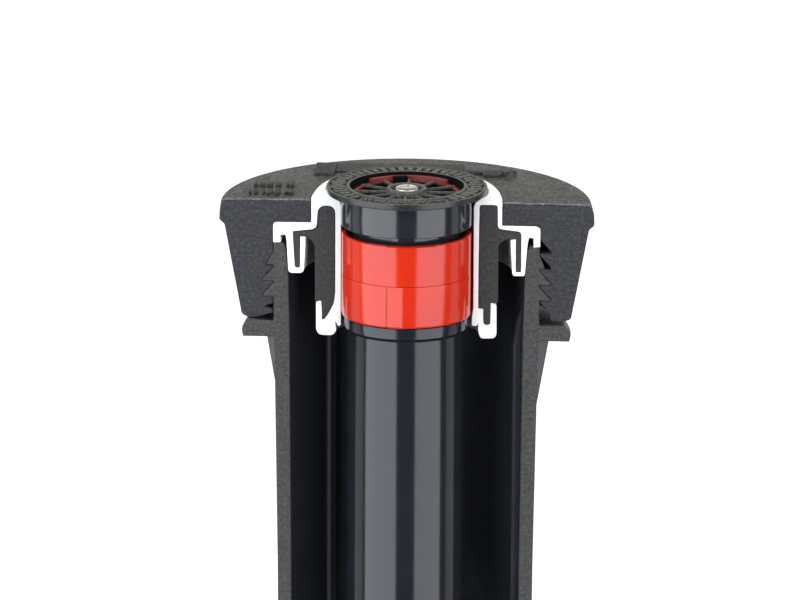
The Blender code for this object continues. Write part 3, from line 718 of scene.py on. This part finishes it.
def build_cap(finish):
    """The sawn cap, with a thread cut to a different depth on each side, a peg and moulded marks."""
    sizes = bpy.context.scene.sprinkler_sizes
    hole, radius = sizes.cap_hole / MM, sizes.cap_radius / MM
    right_lower = [
        (24.1, 18.55, 0.2), (21.95, 18.5, 0.2), (21.85, 17.7, 0.3), (21.7, 17.3), (21.4, 16.9),
        (20.9, 16.35), (20.45, 15.8, 0.1),
    ]
    left_lower = [
        (24.2, 18.66, 0.2), (23.0, 18.7, 0.6), (20.34, 17.95, 0.1), (20.3, 17.4), (21.7, 16.95),
        (20.3, 16.5), (20.3, 15.8, 0.02),
    ]
    right = cap_outline(hole, radius, (21.93,) * 4, right_lower, 20.25, 0.55)
    left = cap_outline(hole, radius, (21.9, 21.9, 21.36, 20.3), left_lower, 20.24, 0.3)

    def grip(ring, angle):
        """Shallow flutes down the cap's skirt, faded out beside the sawn faces."""
        flutes, deepest = 72, 0.32
        from_cut = 90 - abs(angle - 90)
        fade = min(1.0, max(0.0, (from_cut - 4) / 6))
        deep = deepest * fade * (0.5 - 0.5 * math.cos(math.radians(angle * flutes)))
        depth = CAP_TOP - ring[:, 1]
        skirt = (ring[:, 0] > 24.5) & (depth > 4.6) & (depth < 18.3)
        ring[skirt, 0] -= deep
        return ring

    plastics = [finish["cap"], finish["cap_sawn"]]
    cap = half_turned("cap", right, left, plastics, steps=288, shape=grip)
    post = [(0.0, -0.75), (1.1, -0.75, 0.1), (1.12, 0.4), (0.0, 0.4)]
    peg = turned("peg", down(post), plastics[:1], steps=40)
    peg.data.transform(Matrix.Translation(Vector((14.8, 17.3, 0.0)) * MM))
    draw = random.Random(7)
    marks = loose_piece("cap_marks", moulded_marks(draw), [finish["marks"]])
    ragged = loose_piece("cap_burr", saw_burr(draw, hole, radius), [finish["burr"]])
    # The top band of the sawn faces takes the pale finish too: a painted highlight along the cut edge
    cap.data.materials.append(finish["burr"])
    edge_highlight_slot, edge_highlight_depth = len(plastics), 0.7
    for face in cap.data.polygons:
        depth = CAP_TOP - face.center.z / MM
        if face.material_index == SAWN and len(face.vertices) == 4 and depth < edge_highlight_depth:
            face.material_index = edge_highlight_slot
    cap = join(cap, peg, marks, ragged)
    settle(cap, "case", "cap_abs", "body_cap")


def build_seal_core(finish):
    """The rigid ring inside the wiper seal, as its two sawn faces show it."""
    right = [
        (11.12, 0.58, 0.45), (13.72, 0.58, 0.5), (13.74, 4.3, 0.5), (17.37, 4.7, 0.55),
        (17.37, 10.85, 0.12), (16.68, 10.85, 0.12), (16.68, 5.75, 0.1), (15.6, 5.75, 0.2),
        (13.95, 6.4, 0.9), (13.95, 15.7, 0.1), (12.78, 15.9, 0.1), (12.7, 19.2, 0.45),
        (11.82, 19.2, 0.4), (11.78, 16.7, 0.1), (11.0, 16.65, 0.1), (11.0, 10.0),
    ]
    left = [
        (10.9, 1.1, 1.3), (13.42, 1.1, 1.3), (13.5, 4.85, 0.9), (17.25, 5.2, 0.15),
        (16.9, 10.75, 0.35), (16.25, 10.75, 0.35), (16.25, 5.95, 0.1), (15.3, 5.9, 0.2),
        (13.95, 6.9, 0.9), (13.9, 16.1, 0.15), (12.95, 16.0, 0.1), (12.9, 18.95, 0.15),
        (12.55, 18.85, 0.2), (11.9, 17.9, 0.3), (11.05, 16.2, 0.5), (10.87, 14.6),
    ]
    core = half_turned(
        "seal_core_half", down(right), down(left), [finish["core"], finish["core_sawn"]], edge=0.06
    )
    settle(core, "case", "seal_core_pp", "seal_core")


def build_wiper_seal(finish):
    """The white seal: a funnel, a shoulder, a U-shaped leg, a hook and a wiper lip."""
    hole = bpy.context.scene.sprinkler_sizes.cap_hole / MM - 0.06
    right = [
        (10.18, 0.9), (10.4, 0.2), (11.15, -0.35), (12.2, -1.0), (12.45, -1.6, 0.1),
        (12.95, -1.83, 0.2), (13.6, -1.5, 0.2), (14.2, -0.85, 0.2), (hole, -0.2),
        (hole, 3.71, 0.15), (19.6, 3.73), (20.31, 4.0, 0.4), (20.31, 6.95, 0.25),
        (19.3, 7.05, 0.1), (19.3, 5.6, 0.1), (18.6, 5.5, 0.1), (18.4, 6.4),
        (17.98, 11.55, 0.4), (16.1, 11.55, 0.5), (15.78, 5.9, 0.15), (16.6, 5.83, 0.05),
        (16.6, 10.95, 0.1), (17.43, 10.95, 0.1), (17.43, 4.62, 0.6), (13.84, 4.2, 0.6),
        (13.8, 0.5, 0.5), (11.05, 0.5, 0.45), (10.94, 10.0), (10.94, 16.75, 0.05),
        (11.7, 16.8, 0.05), (11.74, 19.3, 0.45), (12.78, 19.3, 0.45), (12.86, 15.7, 0.2),
        (13.72, 16.2, 0.3), (13.75, 20.6), (13.5, 21.4, 0.7), (11.3, 21.45, 0.5),
        (10.95, 20.4, 0.2), (10.98, 18.9, 0.1), (10.75, 19.5, 0.15), (9.95, 19.45, 0.2),
        (9.98, 18.2), (10.18, 16.6),
    ]
    left = [
        (9.97, 0.9), (10.2, 0.2), (10.9, -0.35), (12.0, -1.0), (12.4, -1.6, 0.1),
        (12.9, -1.83, 0.2), (13.5, -1.5, 0.2), (14.1, -0.85, 0.2), (hole, -0.2),
        (hole, 3.71, 0.15), (19.5, 3.73), (20.31, 3.8, 0.7), (20.28, 6.95, 0.3),
        (19.12, 6.85, 0.12), (19.22, 5.75, 0.25), (18.4, 5.65, 0.25), (18.25, 6.6),
        (17.95, 11.65, 0.6), (15.6, 11.65, 0.7), (15.32, 5.95, 0.15), (16.17, 5.9, 0.05),
        (16.17, 10.83, 0.35), (16.98, 10.83, 0.35), (17.33, 5.12, 0.15), (13.65, 4.7, 0.9),
        (13.5, 1.02, 1.3), (10.82, 1.02, 1.3), (10.8, 10.0), (10.8, 14.6, 0.05),
        (11.0, 16.3, 0.5), (11.85, 18.0, 0.3), (12.55, 19.0, 0.2), (12.98, 15.85, 0.15),
        (13.74, 16.1, 0.3), (13.7, 20.4), (13.35, 21.3, 0.9), (11.1, 21.35, 0.6),
        (10.6, 20.5, 0.2), (10.85, 19.0, 0.1), (10.3, 19.9, 0.15), (9.93, 19.75, 0.2),
        (9.93, 18.2), (9.95, 16.6),
    ]
    seal = half_turned(
        "wiper_seal_half", down(right), down(left), [finish["seal"], finish["seal"]], edge=0.05
    )
    settle(seal, "case", "wiper_seal_tpe", "wiper_seal")


# ---------------------------------------------------------------- the riser

def build_stem(finish):
    """The riser's tube: a neck whose two ridges grip the nozzle, a collar, and a plain barrel."""
    stem = bpy.context.scene.sprinkler_sizes.stem_radius / MM
    foot = CAP_TOP - 16.7
    outline = [
        (6.5, 13.5, 0.1), (7.85, 13.5, 0.15),
        (7.85, 14.1), (8.15, 14.5, 0.1), (8.15, 14.7, 0.1), (7.85, 15.1),
        (7.85, 15.5), (8.15, 15.9, 0.1), (8.15, 16.1, 0.1), (7.85, 16.5),
        (7.85, 17.7), (9.46, 17.7, 0.25), (9.46, 19.45, 0.12), (stem, 19.8, 0.25),
        (stem, 30.0), (stem, foot - 1.0), (8.6, foot - 0.6), (8.6, foot, 0.15),
        (7.0, foot, 0.15), (7.0, 22.0), (6.5, 21.0),
    ]
    piece = turned("stem", down(outline), [finish["gloss_black"]], steps=256)
    settle(piece, "riser", "gloss_black_acetal", "riser_stem")


def ratchet_teeth(ring, angle, face, up):
    """Radial V grooves in a ring's flat face, which looks up where up is 1 and down where it is -1."""
    teeth, deepest, sharpness = 24, 0.52, 3.2
    wave = abs((angle * teeth / 360 + 0.5) % 1.0 - 0.5) * 2
    deep = deepest * max(0.0, 1 - wave * sharpness)
    toothed = (abs(ring[:, 1] - face) < 0.05) & (ring[:, 0] > 9.6) & (ring[:, 0] < 14.0)
    ring[toothed, 1] -= deep * up
    return ring


def build_ratchet(finish):
    """The toothed foot on the stem, and the ring that it clicks against, notched for the ribs."""
    plastic = [finish["satin_black"]]
    top, bottom = 19.0, 16.7
    foot = [
        (9.25, top, 0.1), (9.8, top), (11.8, top), (13.8, top), (14.3, top, 0.3),
        (14.3, bottom, 0.3), (8.9, bottom, 0.1), (8.9, bottom + 0.5), (9.25, bottom + 0.9),
    ]
    piece = turned(
        "ratchet_foot_toothed", foot, plastic, steps=384,
        shape=lambda ring, angle: ratchet_teeth(ring, angle, top, 1),
    )
    settle(piece, "riser", "satin_black_acetal", "ratchet_foot")
    low, high, outer = 19.4, 21.6, 16.6
    notches = (*RIB_ANGLES, 255)                # the rib at 255 degrees went with the sawn half
    half_notch, notch_floor = 4.6, 15.9         # in degrees, and the radius in millimetres

    def ring_shape(ring, angle):
        """Teeth underneath, and notches in the rim that run on the case's ribs."""
        ring = ratchet_teeth(ring, angle, low, -1)
        if any(apart(angle, notch) < half_notch for notch in notches):
            ring[:, 0] = np.minimum(ring[:, 0], notch_floor)
        return ring

    section = [
        (9.35, high, 0.1), (11.2, high, 0.1), (11.25, high - 0.45, 0.15),
        (13.55, high - 0.45, 0.15), (13.6, high, 0.1), (outer, high, 0.3),
        (outer, low, 0.3), (13.9, low), (11.8, low), (9.7, low), (9.35, low, 0.1),
    ]
    notch_ends = [notch + side for notch in notches for side in (-half_notch, half_notch)]
    edges = both_sides(*notch_ends, nudge=0.01)
    piece = turned("ratchet_ring_toothed", section, plastic, 384, ring_shape, edges)
    settle(piece, "ratchet", "satin_black_acetal", "ratchet_ring")


def build_spring(finish):
    """A slack coil with closed end turns, standing on the ratchet ring."""
    sizes = bpy.context.scene.sprinkler_sizes
    wire, turns = sizes.spring_wire / MM, sizes.spring_turns
    low, high = (corner.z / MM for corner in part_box("retraction_spring"))
    mean, sides, per_turn = 12.3, 16, 64
    inside = 0.998                              # keeps the wire within its packed box
    closed_rise = wire * 2.1
    open_rise = high - low - 2 * wire - 2 * closed_rise
    count = int(turns * per_turn)
    path = []
    for index in range(count + 1):
        turn = index / per_turn
        middle = min(max((turn - 1.0) / (turns - 2.0), 0.0), 1.0)
        middle = middle * middle * (3 - 2 * middle) * 0.25 + middle * 0.75
        ends = min(turn, 1.0) + max(turn - (turns - 1.0), 0.0)
        height = low + wire + closed_rise * ends + open_rise * middle
        angle = turn * math.tau
        path.append(Vector((mean * math.cos(angle), mean * math.sin(angle), height)))
    vertices = []
    for index, point in enumerate(path):
        ahead = path[min(index + 1, count)] - path[max(index - 1, 0)]
        ahead.normalize()
        out = Vector((point.x, point.y, 0.0)).normalized()
        up = out.cross(ahead).normalized()
        for side in range(sides):
            angle = side * math.tau / sides
            offset = out * math.cos(angle) + up * math.sin(angle)
            vertices.append(tuple(point + offset * wire * inside))
    faces = strips(count + 1, sides)
    faces += [tuple(range(sides)), tuple(range(count * sides, (count + 1) * sides))]
    piece = new_piece("spring", vertices, faces, [finish["spring"]])
    settle(piece, "ratchet", "spring_steel", "retraction_spring")
    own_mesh(piece)


def build_drain_check(finish):
    """The rubber washer under the riser, and the sleeve that snaps into the stem to hold it."""
    seal = [
        (7.6, 16.4, 0.15), (9.4, 16.4), (10.2, 16.15), (11.0, 16.4), (13.5, 16.4, 0.3),
        (13.5, 15.1), (12.9, 14.8, 0.15), (12.2, 15.05), (11.5, 14.8, 0.15), (9.5, 14.8, 0.1),
        (9.5, 15.7, 0.1), (7.6, 15.7, 0.1),
    ]
    piece = turned("drain_check_washer", seal, [finish["rubber"]], steps=128)
    settle(piece, "riser", "black_epdm", "drain_check_seal")
    retainer = [
        (5.4, 24.0, 0.1), (6.4, 24.0, 0.2), (6.75, 23.4, 0.1), (6.75, 16.5), (7.3, 16.3, 0.05),
        (7.3, 15.4), (9.2, 15.4, 0.1), (9.2, 14.9, 0.15), (5.4, 14.9, 0.15),
    ]

    def slots(ring, angle):
        """Four snap fingers, made by four shallow slots down the sleeve."""
        if abs((angle % 90) - 45) < 4:
            sleeve = (ring[:, 1] > 16.8) & (ring[:, 0] > 6.0)
            ring[sleeve, 0] -= 0.4
        return ring

    piece = turned("drain_check_sleeve", retainer, [finish["satin_black"]], 180, slots)
    settle(piece, "riser", "satin_black_acetal", "drain_check_retainer")


def build_nozzle(finish):
    """The two red rings, with the lower one's tab standing proud at the front."""
    outer = bpy.context.scene.sprinkler_sizes.nozzle_radius / MM
    red = [finish["red"]]
    top, split, bottom, seam = 4.8, 11.1, 17.6, 0.03
    body = [
        (7.0, 8.5, 0.1), (7.9, 8.5, 0.15), (7.9, split + seam), (outer, split + seam, 0.03),
        (outer, 12.0), (outer, bottom - 0.35), (outer - 0.1, bottom, 0.12), (8.3, bottom, 0.1),
        (8.3, 12.5), (1.3, 12.5), (1.3, 12.0), (2.05, 12.0), (2.05, 10.9), (7.0, 10.9),
    ]
    seam_left, seam_right = -2.32, 0.22         # across the front, from the axis
    proud, overhang = 0.12, 0.06                # of the tab's right edge, and of its lower end
    groove, groove_depth = 1.6, 0.15            # beside the tab: degrees across, and its depth
    left_angle = math.degrees(math.asin(seam_left / outer)) + FRONT
    right_angle = math.degrees(math.asin(seam_right / outer)) + FRONT
    start = Vector((seam_left, -math.sqrt(outer ** 2 - seam_left ** 2)))
    end = Vector((seam_right, -math.sqrt(outer ** 2 - seam_right ** 2))) * (1 + proud / outer)
    along = end - start
    level = Vector((-along.y, along.x)).normalized()

    def tab(ring, angle):
        """The tab's flat face, from flush at its left edge to proud at its right one."""
        angle = angle - 360 if angle > 180 else angle
        face = (ring[:, 0] > 9.6) & (ring[:, 1] < CAP_TOP - split)
        if left_angle <= angle <= right_angle:
            direction = Vector((math.cos(math.radians(angle)), math.sin(math.radians(angle))))
            flat = level.dot(start) / level.dot(direction)
            ring[face, 0] += flat - outer
            lowest = face & (ring[:, 1] < CAP_TOP - bottom + 0.5)
            ring[lowest, 1] -= overhang
        if left_angle - groove < angle < left_angle:
            ring[face, 0] -= groove_depth
        return ring

    edges = [left_angle + shift for shift in (-groove - 0.1, -groove + 0.1, -0.2, 0.0)]
    edges += [right_angle + shift for shift in (0.0, 0.03)]
    edges += [left_angle + (right_angle - left_angle) * step / 8 for step in range(1, 8)]
    edges = [angle % 360 for angle in edges]
    piece = turned("nozzle_ring_lower", down(body), red, 256, tab, edges)
    settle(piece, "riser", "red_acetal", "nozzle_body")
    collar = [
        (9.15, top, 0.1), (9.5, top), (outer - 0.12, top, 0.05), (outer, top + 0.12, 0.05),
        (outer, split - seam, 0.03), (8.1, split - seam, 0.1), (8.1, 6.8), (9.15, 6.8),
    ]
    step_start, step_end = 255, 300

    def arc_edge(ring, angle):
        """A low step on the rim that marks where the watered arc begins."""
        if step_start < angle < step_end:
            rim = (abs(CAP_TOP - top - ring[:, 1]) < 0.17) & (ring[:, 0] > 9.35)
            ring[rim, 1] -= 0.1
        return ring

    edges = both_sides(step_start, step_end)
    piece = turned("arc_ring_upper", down(collar), red, 256, arc_edge, edges)
    settle(piece, "arc_ring", "red_acetal", "arc_collar")


def build_deflector(finish):
    """The nozzle's black top (a serrated disc, a spoked recess and a skirt) and the red cup in it."""
    sizes = bpy.context.scene.sprinkler_sizes
    skirt, rim, recess = 1, 2, 3                # material slots; the first is the disc's flat top
    black = [
        finish["disc_black"], finish["skirt_black"], finish["satin_black"], finish["recess_shade"],
    ]
    top, web = -2.4, -1.5
    shell = [
        (8.2, web + 0.5), (8.2, web, 0.1), (8.55, web), (8.6, -2.2), (8.7, top, 0.05),
        (9.15, top, 0.05), (9.2, top + 0.3), (11.8, top + 0.34), (11.85, top, 0.05),
        (12.2, top, 0.2), (12.2, -1.5, 0.15), (11.9, -1.35, 0.1), (10.3, -1.3, 0.1),
        (9.95, -1.0, 0.1), (9.95, 1.5), (9.95, 3.55, 0.12), (9.5, 3.6, 0.1),
        (8.3, 3.6, 0.1), (8.3, 6.4, 0.1), (8.2, 6.4, 0.05),
    ]
    disc = turned("deflector", down(shell), black, steps=256)
    # Faces left in the first slot, the disc's top, take the acetal painted lighter: painted light
    for face in disc.data.polygons:
        centre = face.center / MM
        reach = math.hypot(centre.x, centre.y)
        # The skirt takes the lighter copy of the acetal: painted light
        if centre.z < CAP_TOP + 1.33:
            face.material_index = skirt
        # Faces inside the recess take the near-black finish: painted shade
        elif reach < 8.7:
            face.material_index = recess
        elif 9.21 < reach < 11.79 or reach > 12.15:
            face.material_index = rim
    hub = [
        (1.3, -0.95, 0.05), (2.35, -0.95, 0.1), (2.4, -1.9), (2.55, -2.1, 0.08),
        (3.0, -2.1, 0.12), (3.15, -1.5, 0.1), (3.15, -0.6, 0.05), (2.4, -0.6), (2.4, 0.6),
        (1.3, 0.6),
    ]
    hub = turned("deflector_hub", down(hub), black[:1], steps=96)
    spoke_angles = [index * 360 / sizes.spokes for index in range(sizes.spokes)]
    spoke_place = (5.6, 0.0, CAP_TOP - web - 0.2)
    parts = [bar((5.2, 0.4, 0.4), spoke_place, 0.08, about=angle) for angle in spoke_angles]
    on_disc = (10.5, 0.0, CAP_TOP - top - 0.15)
    serrations, plain_front = 48, 38            # the front 38 degrees each way carry dashes instead
    for index in range(serrations):
        angle = index * 360 / serrations
        if apart(angle, FRONT) > plain_front:
            reach = 2.2 if index % 2 else 1.6
            parts.append(bar((reach, 0.75, 0.3), on_disc, 0.05, about=angle))
    for index, angle in enumerate(np.linspace(-34, 34, 13) + FRONT):
        width = (0.9, 0.6, 1.2)[index % 3]
        parts.append(bar((0.4, width, 0.3), on_disc, 0.05, about=angle))
    web_parts = loose_piece("deflector_web", parts, black[:1])
    # The key, in the recess, takes the near-black finish of painted shade
    key = bar((0.9, 2.1, 1.1), (7.0, 0.0, CAP_TOP + 1.55), 0.1, about=101)
    # A near-black floor under the spokes, so that the gaps read dark: painted shade
    shade_dish = [
        (1.3, -0.6, 0.05), (6.6, -0.6), (7.4, -1.15, 0.1), (7.4, -0.7, 0.05), (6.6, -0.2),
        (1.3, -0.2, 0.05),
    ]
    shade_dish = turned("deflector_shade_floor", down(shade_dish), black[recess:], steps=96)
    piece = join(disc, hub, web_parts, shade_dish, loose_piece("deflector_key", [key], black[recess:]))
    settle(piece, "riser", "satin_black_acetal", "deflector_cap")
    cup = [
        (7.6, -1.3, 0.1), (8.15, -1.3, 0.1), (8.15, 8.3), (1.3, 8.3), (1.3, 0.9, 0.1),
        (2.3, 0.9, 0.15), (2.3, 6.2, 0.2), (7.4, 6.2, 0.4),
    ]

    tall_start, tall_end = 42, 138

    def ribs(ring, angle):
        """Six stiffening ribs up the cup's inside wall, and a taller rim at the back."""
        if abs((angle % 60) - 30) < 3:
            wall = (ring[:, 0] > 7.0) & (ring[:, 0] < 7.8) & (ring[:, 1] < CAP_TOP)
            ring[wall, 0] -= 0.7
        if tall_start < angle < tall_end:
            ring[ring[:, 1] > CAP_TOP + 1.1, 1] += 0.7
        return ring

    edges = both_sides(tall_start, tall_end)
    # The cup takes the darker red: painted shade in the recess
    piece = turned("pattern_cup", down(cup), [finish["shaded_red"]], 240, ribs, edges)
    settle(piece, "riser", "red_acetal", "pattern_core")


def build_screw(finish):
    """Radius screw: slotted head, plain shank and a threaded tip."""
    top, tip, pitch, threads, thread_start = -2.2, 24.0, 0.7, 14, 13.4
    outline = [
        (0.0, top), (0.25, top), (0.7, top), (1.1, top), (1.5, top, 0.2),
        (1.75, -1.9, 0.1), (1.75, -1.1, 0.05), (1.15, -1.1),
    ]
    for index in range(threads):
        start = thread_start + index * pitch
        outline += [(0.9, start, 0.08), (1.15, start + pitch / 2, 0.08)]
    outline += [(0.9, tip - 0.4), (0.6, tip, 0.1), (0.0, tip)]
    slot_angle, half_slot, slot_depth = 20, 0.24, 0.5

    def slot(ring, angle):
        """A driver slot across the head."""
        across = abs(math.sin(math.radians(angle - slot_angle)))
        cut = (ring[:, 1] > CAP_TOP + 2.0) & (ring[:, 0] * across < half_slot)
        ring[cut, 1] -= slot_depth
        return ring

    beside = (-14, -13, -12, -9.5, -9, 9, 9.5, 12, 13, 14)
    edges = [(end + turn) % 360 for end in (slot_angle, slot_angle + 180) for turn in beside]
    piece = turned("screw", down(outline), [finish["stainless"]], 120, slot, edges)
    settle(piece, "adjusting_screw", "stainless_steel", "radius_screw")


def finish_inner_parts(finish):
    """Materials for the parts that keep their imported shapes, inside the stem."""
    inner = {
        "screw_oring": "rubber",
        "throttle_plug": "satin_black",
        "filter_frame": "satin_black",
        "filter_mesh": "filter",
        "nozzle_gasket": "rubber",
    }
    for node, key in inner.items():
        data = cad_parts[node].data
        data.materials.clear()
        data.materials.append(finish[key])


# ---------------------------------------------------------------- the studio

def soft_box(name, azimuth, distance, size, heights, power, tint="#FFFFFF", glossy=True):
    """An upright area light at an azimuth from the front, facing the axis. Sizes are in metres."""
    light = bpy.data.lights.new(name, "AREA")
    light.shape = "RECTANGLE"
    light.size, light.size_y = size, heights[1] - heights[0]
    light.energy = power
    light.color = to_linear(tint)
    lamp = bpy.data.objects.new(name, light)
    turn = math.radians(azimuth)
    out = Vector((math.sin(turn), -math.cos(turn), 0.0))
    lamp.location = out * distance + Vector((0.0, 0.0, sum(heights) / 2))
    lamp.rotation_euler = out.to_track_quat("Z", "Y").to_euler()
    lamp.visible_camera = False
    lamp.visible_glossy = glossy
    bpy.context.scene.collection.objects.link(lamp)
    return lamp


def build_studio():
    """A pale floor, soft boxes round the object, and the camera."""
    scene = bpy.context.scene
    studio = scene.sprinkler_studio
    scene.view_settings.view_transform = "Standard"
    world = bpy.data.worlds.new("dim_studio")
    scene.world = world
    world.use_nodes = True
    background = world.node_tree.nodes["Background"]
    background.inputs["Color"].default_value = (*to_linear("#F1F5FF"), 1.0)
    background.inputs["Strength"].default_value = 0.1

    mesh = bpy.data.meshes.new("pale_floor")
    reach = 3.0
    corners = [(-reach, -reach, 0), (reach, -reach, 0), (reach, reach, 0), (-reach, reach, 0)]
    mesh.from_pydata(corners, [], [(0, 1, 2, 3)])
    floor = bpy.data.objects.new("pale_floor", mesh)
    scene.collection.objects.link(floor)
    # Card, painted matt and lit evenly: reads as a plain white ground
    card, _, shader, _ = start_material("white_card_matt", 0.9)
    shader.inputs["Base Color"].default_value = (*to_linear("#8A8A8A"), 1.0)
    shader.inputs["Emission Color"].default_value = (1.0, 1.0, 1.0, 1.0)
    shader.inputs["Emission Strength"].default_value = 0.93
    mesh.materials.append(card)
    floor.visible_glossy = False
    floor.visible_diffuse = False

    tall = (-0.14, 0.5)                         # foot and head of a box that lights the sides
    soft_box("soft_box_left", -48.6, 0.35, 0.46, tall, studio.left_box, "#F4FAFF")
    soft_box("soft_box_right", 47.4, 0.35, 0.35, tall, studio.right_box, "#F8FBFF")
    soft_box("soft_box_rear", 180.0, 0.9, 0.9, (0.05, 0.9), studio.rear_box)
    soft_box("side_fill_left", -113.0, 0.5, 0.44, tall, studio.side_boxes)
    soft_box("side_fill_right", 113.0, 0.5, 0.44, tall, studio.side_boxes)
    top = soft_box("soft_box_top", 0.0, 0.12, 0.6, (0.5, 0.9), studio.top_box, glossy=False)
    top.rotation_euler = (0.0, 0.0, 0.0)
    top.location = (0.0, -0.05, 0.75)

    azimuth, elevation = studio.azimuth, studio.elevation
    right = Vector((math.cos(azimuth), math.sin(azimuth), 0.0))
    ahead = Vector((
        -math.sin(azimuth) * math.cos(elevation),
        math.cos(azimuth) * math.cos(elevation),
        -math.sin(elevation),
    ))
    up = right.cross(ahead)
    aim = Vector((0.0, 0.0, CAP_TOP * MM)) + right * studio.aim_across + up * studio.aim_up
    camera_data = bpy.data.cameras.new("camera")
    camera_data.lens = studio.lens
    camera_data.sensor_width = 36.0
    camera_data.clip_start, camera_data.clip_end = 0.05, 30.0
    camera = bpy.data.objects.new("camera", camera_data)
    scene.collection.objects.link(camera)
    frame_axes = Matrix((right, up, -ahead)).transposed().to_4x4()
    roll = Matrix.Rotation(studio.roll, 4, "Z")
    camera.matrix_world = Matrix.Translation(aim - ahead * studio.distance) @ frame_axes @ roll
    scene.camera = camera


# ---------------------------------------------------------------- operators and panel

FINISHES = {}


def finishes():
    """The materials, made on first use."""
    if not FINISHES:
        FINISHES.update(make_materials())
    return FINISHES


class SPRINKLER_OT_case(bpy.types.Operator):
    """Builds the sawn case with its flange, thread, gussets and inlet"""
    bl_idname = "sprinkler.case"
    bl_label = "Case"

    def execute(self, context):
        build_case(finishes())
        return {"FINISHED"}


class SPRINKLER_OT_cap(bpy.types.Operator):
    """Builds the sawn cap with its thread, grip flutes and moulded marks"""
    bl_idname = "sprinkler.cap"
    bl_label = "Cap"

    def execute(self, context):
        build_cap(finishes())
        return {"FINISHED"}


class SPRINKLER_OT_seal(bpy.types.Operator):
    """Builds the white wiper seal and the core that holds it"""
    bl_idname = "sprinkler.seal"
    bl_label = "Wiper seal and core"

    def execute(self, context):
        build_seal_core(finishes())
        build_wiper_seal(finishes())
        return {"FINISHED"}


class SPRINKLER_OT_stem(bpy.types.Operator):
    """Builds the riser's gloss black stem"""
    bl_idname = "sprinkler.stem"
    bl_label = "Stem"

    def execute(self, context):
        build_stem(finishes())
        return {"FINISHED"}


class SPRINKLER_OT_ratchet(bpy.types.Operator):
    """Builds the toothed ratchet foot and ring"""
    bl_idname = "sprinkler.ratchet"
    bl_label = "Ratchet"

    def execute(self, context):
        build_ratchet(finishes())
        return {"FINISHED"}


class SPRINKLER_OT_spring(bpy.types.Operator):
    """Builds the retraction spring"""
    bl_idname = "sprinkler.spring"
    bl_label = "Retraction spring"

    def execute(self, context):
        build_spring(finishes())
        return {"FINISHED"}


class SPRINKLER_OT_drain_check(bpy.types.Operator):
    """Builds the drain check's rubber washer and its sleeve"""
    bl_idname = "sprinkler.drain_check"
    bl_label = "Drain check"

    def execute(self, context):
        build_drain_check(finishes())
        return {"FINISHED"}


class SPRINKLER_OT_nozzle(bpy.types.Operator):
    """Builds the nozzle's two red rings"""
    bl_idname = "sprinkler.nozzle"
    bl_label = "Nozzle rings"

    def execute(self, context):
        build_nozzle(finishes())
        return {"FINISHED"}


class SPRINKLER_OT_deflector(bpy.types.Operator):
    """Builds the black deflector and the red cup under it"""
    bl_idname = "sprinkler.deflector"
    bl_label = "Deflector"

    def execute(self, context):
        build_deflector(finishes())
        return {"FINISHED"}


class SPRINKLER_OT_screw(bpy.types.Operator):
    """Builds the radius screw"""
    bl_idname = "sprinkler.screw"
    bl_label = "Radius screw"

    def execute(self, context):
        build_screw(finishes())
        return {"FINISHED"}


class SPRINKLER_OT_inner_parts(bpy.types.Operator):
    """Gives the filter, gasket, O-ring and throttle plug their materials"""
    bl_idname = "sprinkler.inner_parts"
    bl_label = "Inner parts"

    def execute(self, context):
        finish_inner_parts(finishes())
        return {"FINISHED"}


class SPRINKLER_OT_studio(bpy.types.Operator):
    """Sets up the floor, the soft boxes and the camera"""
    bl_idname = "sprinkler.studio"
    bl_label = "Studio"

    def execute(self, context):
        build_studio()
        return {"FINISHED"}


OPERATORS = (
    SPRINKLER_OT_case,
    SPRINKLER_OT_cap,
    SPRINKLER_OT_seal,
    SPRINKLER_OT_stem,
    SPRINKLER_OT_ratchet,
    SPRINKLER_OT_spring,
    SPRINKLER_OT_drain_check,
    SPRINKLER_OT_nozzle,
    SPRINKLER_OT_deflector,
    SPRINKLER_OT_screw,
    SPRINKLER_OT_inner_parts,
    SPRINKLER_OT_studio,
)


class SPRINKLER_PT_panel(bpy.types.Panel):
    """Lists the sprinkler's operators and settings"""
    bl_idname = "SPRINKLER_PT_panel"
    bl_label = "Sprinkler"
    bl_space_type = "VIEW_3D"
    bl_region_type = "UI"
    bl_category = "Sprinkler"

    def draw(self, context):
        column = self.layout.column()
        for operator in OPERATORS:
            column.operator(operator.bl_idname)
        for settings in ("sprinkler_sizes", "sprinkler_colours", "sprinkler_studio"):
            group = getattr(context.scene, settings)
            for name in group.__annotations__:
                column.prop(group, name)


CLASSES = (SprinklerColours, SprinklerSizes, StudioSettings, *OPERATORS, SPRINKLER_PT_panel)


def register():
    """Adds the classes, and the three groups of settings to every scene."""
    for cls in CLASSES:
        bpy.utils.register_class(cls)
    bpy.types.Scene.sprinkler_colours = PointerProperty(type=SprinklerColours)
    bpy.types.Scene.sprinkler_sizes = PointerProperty(type=SprinklerSizes)
    bpy.types.Scene.sprinkler_studio = PointerProperty(type=StudioSettings)


def unregister():
    """Takes the settings and the classes away again."""
    for name in ("sprinkler_studio", "sprinkler_sizes", "sprinkler_colours"):
        delattr(bpy.types.Scene, name)
    for cls in reversed(CLASSES):
        bpy.utils.unregister_class(cls)


def main():
    """Builds every piece and the stage."""
    register()
    for operator in OPERATORS:
        name = operator.bl_idname.split(".")[1]
        getattr(bpy.ops.sprinkler, name)()
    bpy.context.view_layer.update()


if __name__ == "__main__":
    main()
